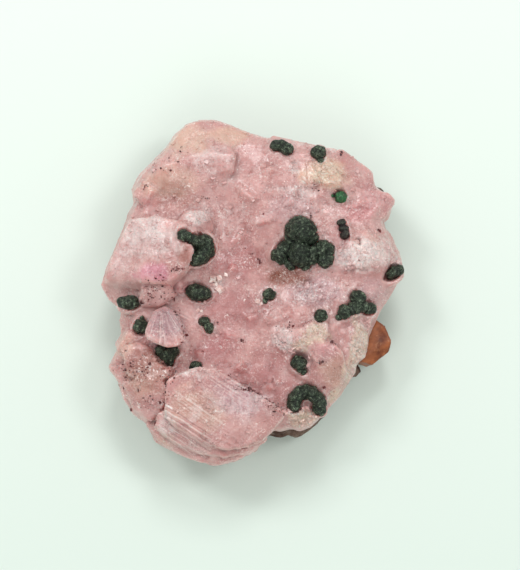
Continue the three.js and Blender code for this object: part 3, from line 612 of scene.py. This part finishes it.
def pink_calcite(name, glow):
    """Rose calcite. Glow is how much light goes through it."""
    paint = Paint(
        name, Subsurface_Weight=glow, Subsurface_Radius=(1.0, 0.5, 0.46),
        Subsurface_Scale=3.0 * MM, IOR=1.6, Coat_Weight=0.3, Coat_Roughness=0.12, Coat_IOR=1.6,
    )
    sugar = paint.stored("sugar")
    mottle = paint.noise(3.6, detail=2.5)
    cloud = paint.noise(6.0, detail=3.0, roughness=0.6)
    fine = paint.noise(0.7, detail=3.0)
    veil = paint.noise(1.4, detail=3.0, roughness=0.6, distortion=0.6)
    tone = paint.tint(mottle.between(0.34, 0.64), colour(191, 134, 131), colour(212, 161, 157))
    tone = paint.tint(cloud.between(0.5, 0.68) * 0.35, tone, colour(228, 196, 194))
    for patch, share, shade in (
        ("peach", 0.85, (228, 190, 164)), ("lilac", 0.9, (190, 150, 157)),
        ("rose", 0.9, (180, 116, 116)), ("magenta", 0.85, (202, 122, 142)),
        ("blush", 0.8, (208, 132, 136)),
    ):
        tone = paint.tint(paint.stored(patch) * share, tone, colour(*shade))
    tone = paint.tint(paint.stored("tan"), tone, colour(132, 62, 36))
    tone = paint.tint(veil.between(0.55, 0.68) * (0.12 + 0.5 * sugar), tone, colour(240, 216, 214))
    torn = (paint.noise(1.1, detail=4.0, roughness=0.65) - 0.5) * 1.5
    cream = (paint.stored("cream") + torn).between(0.25, 0.9)
    frost = (paint.stored("frost") + torn).between(0.25, 1.0)
    tone = paint.tint(cream * 0.66, tone, colour(228, 206, 180))
    tone = paint.tint(frost * 0.72, tone, colour(243, 224, 222))
    # Painted glow: the steep sides made lighter, for light coming through them.
    tone = paint.tint(paint.stored("steep") * 0.3, tone, colour(240, 200, 194))
    grain = paint.noise(0.3, detail=1.5, roughness=0.7)
    grainy = 0.08 + 0.35 * paint.noise(2.8, detail=2.0).between(0.4, 0.64)
    grainy = grainy + 0.05 * paint.stored("striated") + 0.2 * sugar
    tone = paint.tint(grain.between(0.52, 0.66) * grainy, tone, colour(246, 224, 220))
    tone = paint.tint(grain.between(0.44, 0.3) * grainy * 0.8, tone, colour(158, 102, 100))
    # Painted glints: small crisp white flecks, scattered in clusters.
    painted_glints = paint.noise(0.75, detail=2.0, roughness=0.7, distortion=1.6).between(0.6, 0.68)
    painted_glints = painted_glints * paint.noise(2.6, detail=1.0).between(0.48, 0.6)
    tone = paint.tint(painted_glints * 0.75, tone, colour(253, 240, 236))
    pit = paint.cells(1.5).between(0.1, 0.06) * paint.noise(3.1).between(0.46, 0.6)
    tone = paint.tint(pit * 0.6, tone, colour(104, 48, 46))
    # Painted shade: darker in the hollows, darkest in the deepest.
    cavity = paint.stored("cavity")
    tone = paint.tint(cavity * 0.3, tone, colour(164, 104, 100))
    tone = paint.tint(cavity * cavity * 0.5, tone, colour(122, 64, 60))
    # Painted highlight: short white streaks along the growth lines, in their own spots.
    highlight_streaks = paint.lines("stria", 0.5).between(0.5, 0.62) * fine.between(0.4, 0.6)
    tone = paint.tint(paint.stored("painted_highlight") * highlight_streaks, tone, colour(253, 248, 246))
    # Painted highlight on the raised crests, stronger where the crust is sugary.
    tone = paint.tint(paint.stored("crest") * (0.08 + 0.3 * sugar), tone, colour(242, 222, 216))
    streak = paint.lines("stria", 0.45)
    striated = paint.stored("striated")
    tone = paint.tint(striated * streak.between(0.52, 0.66) * 0.6, tone, colour(242, 222, 217))
    tone = paint.tint(striated * streak.between(0.45, 0.3) * 0.55, tone, colour(166, 118, 114))
    rough = 0.2 + 0.35 * paint.noise(1.3, detail=2.0) + 0.12 * paint.stored("frost")
    lively = 0.3 + 0.6 * sugar
    height = (paint.facets(0.9, 0.9) + paint.facets(0.4, 1.3)) * lively
    height = height + (fine * 0.05 + striated * streak * 0.3) * MM
    return paint.finish(Base_Color=tone, Roughness=rough, Normal=paint.bump(height, 1 / MM, 0.8))


def dark_malachite():
    """Dark green and velvety, with painted highlight on its crowns and where globules meet, and
    painted shade in its grooves.
    """
    paint = Paint("dark_malachite", IOR=1.5, Specular_IOR_Level=0.35)
    bands = paint.noise(0.8, detail=3.0, roughness=0.6)
    velvet = paint.noise(0.3, detail=3.0, roughness=0.75, distortion=1.2)
    tone = paint.tint(bands.between(0.38, 0.62), colour(8, 12, 9), colour(30, 42, 28))
    fleck = velvet.between(0.54, 0.6)
    bright = paint.stored("bright") * bands.between(0.34, 0.56)
    tone = paint.tint(fleck * 0.48, tone, colour(94, 116, 88))
    # Painted highlight on the crowns.
    tone = paint.tint(paint.stored("crown") * (0.1 + 0.75 * fleck), tone, colour(158, 174, 146))
    # Painted highlight along the lines where globules meet.
    tone = paint.tint(paint.stored("fringe") * (0.1 + 0.6 * fleck), tone, colour(132, 148, 126))
    tone = paint.tint(bright * 0.75, tone, colour(58, 128, 78))
    tone = paint.tint(velvet.between(0.46, 0.4) * 0.8, tone, colour(5, 8, 6))
    # Painted shade in the grooves.
    tone = paint.tint(paint.stored("groove") * 0.7, tone, colour(5, 7, 6))
    tone = paint.tint(paint.stored("purple") * 0.65, tone, colour(42, 26, 32))
    rough = 0.28 + 0.3 * bands
    height = velvet + bands * 0.5
    return paint.finish(Base_Color=tone, Roughness=rough, Normal=paint.bump(height, 0.2, 1.0))


def brown_rock():
    """Dull host rock with dark grit, seams and a little rust."""
    paint = Paint("brown_rock", IOR=1.5, Specular_IOR_Level=0.4)
    blotch = paint.noise(3.5, detail=5.0, roughness=0.6)
    grit = paint.noise(0.6, detail=4.0, roughness=0.7)
    tone = paint.tint(blotch.between(0.35, 0.7), colour(86, 62, 52), colour(142, 116, 102))
    tone = paint.tint(grit.between(0.5, 0.65) * 0.7, tone, colour(62, 42, 36))
    layers = paint.vector("MULTIPLY", paint.place, (1.0, 1.0, 2.0))
    seam_inputs = {"Vector": layers, "Scale": 1 / (2.2 * MM), "Detail": 3.0}
    seams = paint.node("ShaderNodeTexNoise", None, seam_inputs)
    tone = paint.tint(seams.between(0.54, 0.62) * 0.6, tone, colour(70, 40, 32))
    tone = paint.tint(seams.between(0.42, 0.34) * 0.4, tone, colour(178, 160, 146))
    tone = paint.tint(paint.noise(5.0).between(0.6, 0.75) * 0.6, tone, colour(150, 96, 62))
    rough = 0.65 + 0.3 * grit
    return paint.finish(Base_Color=tone, Roughness=rough, Normal=paint.bump(grit + blotch, 0.35, 0.8))


def rust_crystal():
    """A crystal stained by iron."""
    paint = Paint(
        "rust_crystal", Subsurface_Weight=0.2, Subsurface_Radius=(1.0, 0.4, 0.2),
        Subsurface_Scale=1.5 * MM, IOR=1.5, Specular_IOR_Level=0.3,
    )
    stain = paint.noise(1.6, detail=4.0)
    tone = paint.tint(stain.between(0.35, 0.65), colour(108, 54, 32), colour(168, 98, 60))
    tone = paint.tint(paint.noise(0.7).between(0.6, 0.8) * 0.7, tone, colour(196, 142, 104))
    normal = paint.bump(stain, 0.2, 0.6)
    return paint.finish(Base_Color=tone, Roughness=0.25 + 0.3 * stain, Normal=normal)


def dark_grain():
    paint = Paint("dark_grain", IOR=1.6)
    tone = paint.tint(paint.noise(1.5).between(0.4, 0.65), colour(58, 22, 24), colour(112, 44, 44))
    rough = 0.4 + 0.2 * paint.noise(0.4)
    return paint.finish(Base_Color=tone, Roughness=rough, Normal=paint.bump(paint.noise(0.2), 0.04))


def ball(detail=2):
    """Points and triangles of a ball of radius 1."""
    source = bpy.data.meshes.new("ball")
    shape = bmesh.new()
    bmesh.ops.create_icosphere(shape, subdivisions=detail, radius=1.0)
    shape.to_mesh(source)
    shape.free()
    points, faces = arrays_of(source)
    bpy.data.meshes.remove(source)
    return points * MM, faces


def globule_centres(name):
    """Where each globule of a cluster stands, found from the part's own solid."""
    points, _ = arrays_of(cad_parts[f"malachite_{name}"].data)
    centres = []
    for x, y, radius in CLUSTERS[name]:
        heights = np.arange(points[:, 2].min() - radius, points[:, 2].max(), 0.02)
        flat = np.hypot(points[:, 0] - x, points[:, 1] - y)
        away = np.hypot(flat[None, :], points[None, :, 2] - heights[:, None])
        votes = np.sum(np.abs(away - radius) < 0.03, axis=1)
        centres.append(((x, y, heights[np.argmax(votes)]), radius))
    return centres


centres = {name: globule_centres(name) for name in CLUSTERS}


def standing(name, shape):
    """A shaped bead at its cluster's nearest globule's height, and lower where it is smaller."""
    x, y, along, across, up, turn = shape

    def away(globule):
        (globule_x, globule_y, _), _ = globule
        return math.hypot(globule_x - x, globule_y - y)

    (_, _, height), radius = min(centres[name], key=away)
    return x, y, height - 0.2 * (radius - up), along, across, up, turn


beads = {
    name: [standing(name, shape) for shape in shapes] for name, shapes in SHAPED_BEADS.items()
}
for name, globules in centres.items():
    if name not in beads:
        beads[name] = [(x, y, z, r + 0.12, r + 0.12, r + 0.12, 0) for (x, y, z), r in globules]


def to_bead(points, bead):
    """Points in a bead's own frame, in which it is a ball of radius 1."""
    x, y, z, along, across, up, turn = bead
    cos, sin = math.cos(math.radians(turn)), math.sin(math.radians(turn))
    away = points - [x, y, z]
    return np.stack(
        [
            (away[:, 0] * cos + away[:, 1] * sin) / along,
            (away[:, 1] * cos - away[:, 0] * sin) / across,
            away[:, 2] / up,
        ],
        axis=1,
    )


def from_bead(points, bead):
    """The way back from a bead's own frame."""
    x, y, z, along, across, up, turn = bead
    cos, sin = math.cos(math.radians(turn)), math.sin(math.radians(turn))
    first, second = points[:, 0] * along, points[:, 1] * across
    return np.stack(
        [
            first * cos - second * sin + x,
            first * sin + second * cos + y,
            points[:, 2] * up + z,
        ],
        axis=1,
    )


def under_beads(points, normals):
    """The crust kept below the middle of every bead that stands on it."""
    for bead in itertools.chain.from_iterable(beads.values()):
        local = to_bead(points, bead)
        away = np.hypot(local[:, 0], local[:, 1])
        ceiling = bead[2] + bead[5] * (-0.35 + 1.5 * np.maximum(away - 1.0, 0))
        held = (away < 1.5) & (local[:, 2] < 1.3) & (normals[:, 2] > 0.2)
        points[held, 2] = np.minimum(points[held, 2], ceiling[held])
    return points


def crust_mesh():
    """The part's crust, with crystal relief on it and seats filled in under the beads."""
    solid = arrays_of(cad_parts["calcite_crust"].data)
    fills = []
    for globules in centres.values():
        for (x, y, z), radius in globules:
            points, faces = ball()
            size = [radius + 0.45, radius + 0.45, 0.5 * radius + 0.4]
            fills.append((points * size + [x, y, z - 0.3 * radius - 0.1], faces))
    points, quads = remeshed([solid, *fills], CRUST_VOXEL)
    edges = edges_of(quads)
    points = smoothed(points, edges, 1)

    # Soft slopes and the crust's foot are evened out.
    soft = patches(points, SOFTENED, 98, 0.15)
    points = points + soft[:, None] * (smoothed(points, edges, 120) - points)
    low = smoothstep(*FOOT_OF_CRUST, points[:, 2])
    points = points + low[:, None] * (smoothed(points, edges, 15) - points)
    normals = normals_of(points, quads)

    # Broad cleavage faces, then a slow wave, then the stepped edges of the ledges.
    upward = smoothstep(-0.2, 0.4, normals[:, 2])
    level = smoothstep(0.2, 0.65, normals[:, 2])
    calm = calmness(points)
    sugar = sugariness(points)
    broad = crystal_relief(points, normals, BROAD_SPACING, 100, steepness=0.95, tilt=0.35)
    points = points + normals * (0.42 * broad * (1 - 0.9 * calm) * (0.5 + 0.5 * upward))[:, None]
    wave = 0.1 * noise(points, 2.6, 3) + 0.04 * noise(points, 1.2, 4)
    points = points + normals * (wave * (1 - 0.5 * calm))[:, None]
    across = -(BLOCK_ACROSS[0] * points[:, 0] + BLOCK_ACROSS[1] * points[:, 1])
    across = across + 0.7 * noise(points, 3.5, 5)
    sheet = across / LEDGE_STEP % 1.0
    points = points + normals * (0.22 * (sheet - 0.5) * ledginess(points))[:, None]
    normals = normals_of(points, quads)

    # Crystals on the steep sides, blocky crystals, then the small ones. What faces down is
    # pushed outwards more than down, which keeps the crust's lower edge level.
    sideways = normals * np.where(normals[:, 2:] < 0, [1.0, 1.0, 0.25], 1.0)
    sides = crystal_relief(points, normals, SIDE_SPACING, 150, steepness=0.82)
    points = points + sideways * (sides * (1 - upward))[:, None]
    blocky = blockiness(points)
    blocks = crystal_relief(points, normals, BLOCK_SPACING, 160, steepness=0.8)
    points = points + normals * (1.1 * blocks * blocky**1.5)[:, None]
    coarse = crystal_relief(points, normals, COARSE_SPACING, 200, steepness=0.86)
    fine = crystal_relief(points, normals, FINE_SPACING, 300, steepness=0.8, tilt=0.8)
    plain = (1 - 0.8 * ledginess(points)) * (0.45 + 0.55 * level)
    coarse_share = (0.14 + 0.3 * sugar + 0.3 * blocky) * (1 - 0.75 * calm) * plain
    fine_share = (0.08 + 0.4 * sugar) * (1 - 0.6 * calm) * (1 - 0.6 * blocky) * plain
    bare = patches(points, BARE_ROCK, 95, 0.15) * smoothstep(*RIM_OF_CRUST, points[:, 2])
    coarse_share = coarse_share + 0.36 * (1 - upward)
    fine_share = fine_share + 0.12 * (1 - upward)
    points = points + sideways * (coarse * coarse_share + fine * fine_share)[:, None]
    # The rim is drawn back from the bare rock.
    outward = unit(points * [1, 1, 0])
    points = points - outward * (1.7 * bare)[:, None]
    points = under_beads(points, normals)

    # How far each point stands above or below the broad shape, for the painted shade in its hollows
    # and the painted highlight on its crests.
    broad_shape = smoothed(points, edges, 14)
    points = smoothed(points, edges, 1, 0.3)
    relief = np.sum((points - broad_shape) * normals, axis=1) / 0.2

    mesh = mesh_from("calcite", points, quads)
    store_finish(mesh, points, smoothstep(-0.2, 0.4, normals[:, 2]), relief)
    return mesh, points, normals, sugar


def store_finish(mesh, points, upward, relief):
    """What the calcite's finish needs to know at each point."""
    for name, spots, salt in (
        ("frost", FROST, 10), ("cream", CREAM, 20), ("rose", ROSE, 30), ("magenta", MAGENTA, 40),
        ("peach", PEACH, 50), ("lilac", LILAC, 60), ("tan", TAN, 70), ("striated", STRIATED, 80),
        ("painted_highlight", PAINTED_HIGHLIGHT_SPOTS, 85), ("blush", BLUSH, 45),
    ):
        store(mesh, name, patches(points, spots, salt) * upward)
    # The steep sides carry a painted glow.
    store(mesh, "steep", smoothstep(1.0, 0.5, upward))
    store(mesh, "sugar", sugariness(points))
    # Painted shade in the hollows and painted highlight on the crests.
    store(mesh, "cavity", np.clip(-relief, 0, 1))
    store(mesh, "crest", np.clip(relief, 0, 1))
    store(mesh, "stria", striae(points))


def sugariness(points):
    """How thickly each place is set with little crystals."""
    frosted = patches(points, FROST + CREAM, 60) + 0.5 * patches(points, LILAC, 61)
    flat = (1 - 0.8 * calmness(points)) * (1 - 0.6 * blockiness(points))
    return np.clip(frosted, 0, 1) * flat * (1 - 0.8 * ledginess(points))


def striae(points):
    """How far across the growth lines each point is, in millimetres."""
    x, y = points[:, 0], points[:, 1]
    fan = 6.0 * np.arctan2(x - FAN_APEX[0], FAN_APEX[1] - y)
    block = BLOCK_ACROSS[0] * x + BLOCK_ACROSS[1] * y
    columns = COLUMNS_ACROSS[0] * x + COLUMNS_ACROSS[1] * y
    in_fan = np.hypot(x - FAN_MIDDLE[0], y - FAN_MIDDLE[1]) < FAN_REACH
    straight = np.where(x > COLUMNS_WEST_END, columns, block)
    return np.where(in_fan, fan, straight) + 0.25 * noise(points, 3.0, 81)


crust, crust_points, crust_normals, crust_sugar = crust_mesh()
crust_piece = piece("calcite", crust, pink_calcite("pink_calcite", 0.7))
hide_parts("calcite_crust")


def rhombohedra(places, axes, sizes, turns, squash=0.8):
    """Little calcite crystals: cubes pressed along the corner-to-corner axis that points out."""
    corners = np.array(list(itertools.product((-1, 1), repeat=3)), float)
    faces = np.array(
        [(0, 1, 3, 2), (4, 6, 7, 5), (0, 4, 5, 1), (2, 3, 7, 6), (0, 2, 6, 4), (1, 5, 7, 3)]
    )
    diagonal = np.ones(3) / math.sqrt(3)
    across = unit(np.array([1.0, -1.0, 0.0]))
    third = np.cross(diagonal, across)
    local = np.stack([corners @ across, corners @ third, squash * (corners @ diagonal)], axis=1)
    side = unit(np.cross(axes, [0.31, 0.95, 0.05]))
    front = np.cross(axes, side)
    cos, sin = np.cos(turns)[:, None], np.sin(turns)[:, None]
    first, second = side * cos + front * sin, front * cos - side * sin
    basis = np.stack([first, second, axes], axis=1)
    points = np.einsum("kc,ncd->nkd", local, basis) * (sizes / 2)[:, None, None] + places[:, None, :]
    starts = 8 * np.arange(len(places))
    return points.reshape(-1, 3), (faces[None] + starts[:, None, None]).reshape(-1, 4)


def druse_crystals():
    """Sharp little crystals scattered where the crust is sugary, half sunk in it."""
    random = np.random.default_rng(5)
    level = smoothstep(0.3, 0.7, crust_normals[:, 2])
    chance = (0.03 + 0.6 * crust_sugar**2) * level
    odds = chance / chance.sum()
    chosen = random.choice(len(crust_points), DRUSE_COUNT, replace=False, p=odds)
    places = crust_points[chosen]
    axes = unit(crust_normals[chosen] + 0.35 * random.normal(size=places.shape))
    sizes = 0.25 + 0.5 * random.random(len(chosen)) ** 3
    places = places - axes * (0.28 * sizes)[:, None]
    turns = FULL_TURN * random.random(len(chosen))
    points, faces = rhombohedra(places, axes, sizes, turns)
    mesh = mesh_from("calcite_druse", points, faces)
    store_finish(mesh, points, np.ones(len(points)), np.full(len(points), 0.2))
    return mesh


druse_calcite = pink_calcite("druse_calcite", 0.0)
piece("calcite_druse", druse_crystals(), druse_calcite, smooth=False)


def surface_under(points, x, y):
    """The point of a skin that lies at a place seen from above, the upper one of two."""
    return np.argmin(np.hypot(points[:, 0] - x, points[:, 1] - y) - 0.1 * points[:, 2])


def clear_crystals():
    """Each clear crystal a little sunk in the crust."""
    random = np.random.default_rng(21)
    places, axes, sizes = [], [], []
    for x, y, size in CLEAR_CRYSTALS:
        nearest = surface_under(crust_points, x, y)
        axis = unit(crust_normals[nearest] + 0.5 * random.normal(size=3))
        places.append(crust_points[nearest] - 0.1 * size * axis)
        axes.append(axis)
        sizes.append(size)
    turns = FULL_TURN * random.random(len(sizes))
    points, faces = rhombohedra(np.array(places), np.array(axes), np.array(sizes), turns)
    return mesh_from("clear_crystals", points, faces)


def clear_calcite():
    paint = Paint("clear_calcite", IOR=1.6, Coat_Weight=0.5, Coat_Roughness=0.05)
    milky = paint.noise(0.5, detail=2.0).between(0.4, 0.6)
    tone = paint.tint(milky, colour(226, 184, 178), colour(248, 234, 228))
    return paint.finish(Base_Color=tone, Roughness=0.08 + 0.2 * paint.noise(0.4))


piece("clear_crystals", clear_crystals(), clear_calcite(), smooth=False)


def dark_grains():
    """Dark grains strewn on the crust round the places in GRAINS."""
    random = np.random.default_rng(9)
    facing = crust_normals[:, 2] > 0.1
    points, normals = crust_points[facing], crust_normals[facing]
    base, faces = ball(detail=1)
    solids = []
    for x, y, along_x, along_y, count in GRAINS:
        for _ in range(2 * count):
            east = x + along_x * random.normal() * 0.6
            north = y + along_y * random.normal() * 0.6
            nearest = surface_under(points, east, north)
            size = 0.06 + 0.13 * random.random() ** 3
            stretch = size * (0.6 + 1.6 * random.random(3) ** 2)
            centre = points[nearest] + 0.3 * size * normals[nearest]
            uneven = 1 + 0.25 * random.normal(size=(len(base), 1))
            solids.append(base * stretch * uneven + centre)
    starts = len(base) * np.arange(len(solids))
    all_faces = (faces[None] + starts[:, None, None]).reshape(-1, 3)
    return mesh_from("dark_grains", np.concatenate(solids), all_faces)


piece("dark_grains", dark_grains(), dark_grain(), smooth=False)


def cluster_mesh(name, salt):
    """A cluster's beads as one knobbly skin."""
    globules = list(beads[name])
    if "crescent" in name:
        ends = np.array(globules, float)
        globules += [tuple(middle) for middle in (ends[1:] + ends[:-1]) / 2]
    round_points, faces = ball(detail=3)
    solids = [(from_bead(round_points, bead), faces) for bead in globules]
    points, quads = remeshed(solids, BEAD_VOXEL)
    edges = edges_of(quads)
    points = smoothed(points, edges, 2)
    normals = normals_of(points, quads)
    reach = [
        (np.linalg.norm(to_bead(points, bead), axis=1) - 1) * (bead[3] + bead[4]) / 2
        for bead in globules
    ]
    far = np.full(len(points), 9.0)
    reach = np.sort(np.array([*reach, far]), axis=0)
    between = reach[1] - reach[0] + 0.15 * noise(points, 0.6, 480)
    large_knobs = 0.3 * (knobbly(points, 1.25, 400 + salt) - 0.6)
    lumps = large_knobs + 0.14 * (knobbly(points, 0.55, 420 + salt) - 0.6)
    wave = 0.14 * noise(points, 0.8, 430 + salt) + 0.13 * noise(points, 0.36, 460 + salt)
    wave = wave + 0.25 * noise(points, 2.0, 440 + salt)
    joined = "crescent" in name or name in ONE_BODY
    seam = (0.0 if joined else 0.12) * smoothstep(0.3, 0.0, between)
    points = points + normals * (lumps + wave - seam)[:, None]
    broad_shape = smoothed(points, edges, 12)
    points = smoothed(points, edges, 1, 0.3)
    mesh = mesh_from(f"malachite_beads_{name}", points, quads)
    # From how far each point stands above or below the broad shape: painted highlight on the crowns,
    # painted shade in the grooves.
    relief = np.sum((points - broad_shape) * normals, axis=1) / 0.12
    store(mesh, "crown", np.clip(relief + 0.3 * noise(points, 0.5, 490), 0, 1))
    store(mesh, "groove", np.clip(-relief, 0, 1))
    # Painted highlight along the lines where globules meet.
    fringe = smoothstep(0.05, 0.25, between) * smoothstep(0.7, 0.35, between)
    store(mesh, "fringe", (0.15 if joined else 0.6) * fringe)
    for tint, tinted in (("bright", "bright_bead"), ("purple", "dark_pair")):
        store(mesh, tint, np.full(len(points), float(name == tinted)))
    return mesh


green = dark_malachite()
for salt, name in enumerate(CLUSTERS):
    cluster = piece(f"malachite_beads_{name}", cluster_mesh(name, salt), green)
    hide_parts(f"malachite_{name}")


def rock_mesh(node, voxel, strength, salt, reach=0.0):
    """A solid with a broken surface. Reach is how far it stands out where ROCK_EDGE says."""
    points, quads = remeshed([arrays_of(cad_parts[node].data)], voxel)
    edges = edges_of(quads)
    points = smoothed(points, edges, 8 if reach else 1)
    if reach:
        seen = [
            (x, y, 1.6 * half_width, 1.6 * half_depth, 1.0)
            for x, y, half_width, half_depth, _ in ROCK_EDGE
        ]
        low = smoothstep(*LOWER_ROCK, points[:, 2]) * (1 - patches(points, seen, 95, 0.2))
        points = points + low[:, None] * (smoothed(points, edges, 90) - points)
    normals = normals_of(points, quads)
    slabs = noise(points * [1, 1, 1.7], 2.0, salt + 2)
    rise = 0.5 * noise(points, 3.0, salt) + 0.3 * noise(points, 1.3, salt + 1) + 0.4 * slabs
    above = smoothstep(0.0, 0.8, points[:, 2])
    broken = 1.7 * crystal_relief(points, normals, 5.0, salt + 10, 0.88)
    broken = broken + 0.9 * crystal_relief(points, normals, 2.2, salt + 20, 0.85)
    points = points + normals * (strength * (rise + broken) * above)[:, None]
    edge = patches(points, ROCK_EDGE, 95, 0.2)
    sidelong = np.hypot(normals[:, 0], normals[:, 1])
    layer = smoothstep(*UPPER_ROCK, points[:, 2]) * smoothstep(-0.2, 0.5, sidelong)
    layer = layer * (0.75 + 0.25 * np.sign(np.sin(points[:, 2] * 5.5 + 2 * noise(points, 3.0, 97))))
    points = points + unit(points * [1, 1, 0]) * (reach * edge * layer)[:, None]
    points[:, 2] = np.maximum(points[:, 2], 0.0)
    return mesh_from(node + "_surface", points, quads)


rock = piece("rock", rock_mesh("host_rock", ROCK_VOXEL, 0.5, 500, 2.4), brown_rock())
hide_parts("host_rock")
stained_mesh = rock_mesh("iron_stained_crystal", STAINED_VOXEL, 0.18, 600)
stained = piece("stained_crystal", stained_mesh, rust_crystal())
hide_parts("iron_stained_crystal")


def floor_and_light():
    """A pale floor, soft daylight and four soft lamps."""
    paint = Paint("floor", Specular_IOR_Level=0.2)
    shade = paint.noise(60.0, detail=2.0)
    # Painted light: the floor lighter towards the north and darker towards the south.
    north = paint.node("ShaderNodeSeparateXYZ", None, {0: paint.place}, "Y").between(-0.05, 0.05)
    tone = paint.tint(north * 0.85 + 0.15 * shade, colour(218, 229, 221), colour(231, 239, 232))
    paper = paint.finish(Base_Color=tone, Roughness=0.7 + 0.1 * shade)
    half = 1.5
    corners = [(-half, -half, 0), (half, -half, 0), (half, half, 0), (-half, half, 0)]
    mesh = bpy.data.meshes.new("floor")
    mesh.from_pydata(corners, [], [(0, 1, 2, 3)])
    mesh.materials.append(paper)
    floor = bpy.data.objects.new("floor", mesh)
    bpy.context.scene.collection.objects.link(floor)

    world = bpy.data.worlds.new("studio")
    bpy.context.scene.world = world
    world.use_nodes = True
    sky = world.node_tree.nodes["Background"]
    sky.inputs["Color"].default_value = (0.94, 1.0, 0.96, 1)
    sky.inputs["Strength"].default_value = 0.575

    for name, place, size, power in (
        ("window_west", (-0.38, 0.3, 0.6), 0.2, 1.5),
        ("window_north", (0.05, 0.45, 0.65), 0.2, 1.3),
        ("window_east", (0.4, 0.1, 0.65), 0.2, 1.0),
        ("fill_south", (-0.05, -0.5, 0.55), 0.4, 0.9),
    ):
        light = bpy.data.lights.new(name, "AREA")
        light.size = size
        light.energy = power
        lamp = bpy.data.objects.new(name, light)
        lamp.location = place
        lamp.rotation_euler = (-Vector(place)).to_track_quat("-Z", "Y").to_euler()
        bpy.context.scene.collection.objects.link(lamp)


def camera():
    """Nearly overhead, as the photograph was taken."""
    elevation = math.radians(78)
    distance = 380 * MM
    aim = Vector((1.38, 0.85, 10.0)) * MM
    back = Vector((0, -math.cos(elevation), math.sin(elevation)))
    lens = bpy.data.cameras.new("camera")
    lens.lens = 144
    lens.sensor_width = 36
    lens.clip_start = 0.01
    lens.clip_end = 10
    eye = bpy.data.objects.new("camera", lens)
    eye.location = aim + back * distance
    eye.rotation_euler = (-back).to_track_quat("-Z", "Y").to_euler()
    bpy.context.scene.collection.objects.link(eye)
    bpy.context.scene.camera = eye


floor_and_light()
camera()
bpy.context.scene.view_settings.view_transform = "Standard"
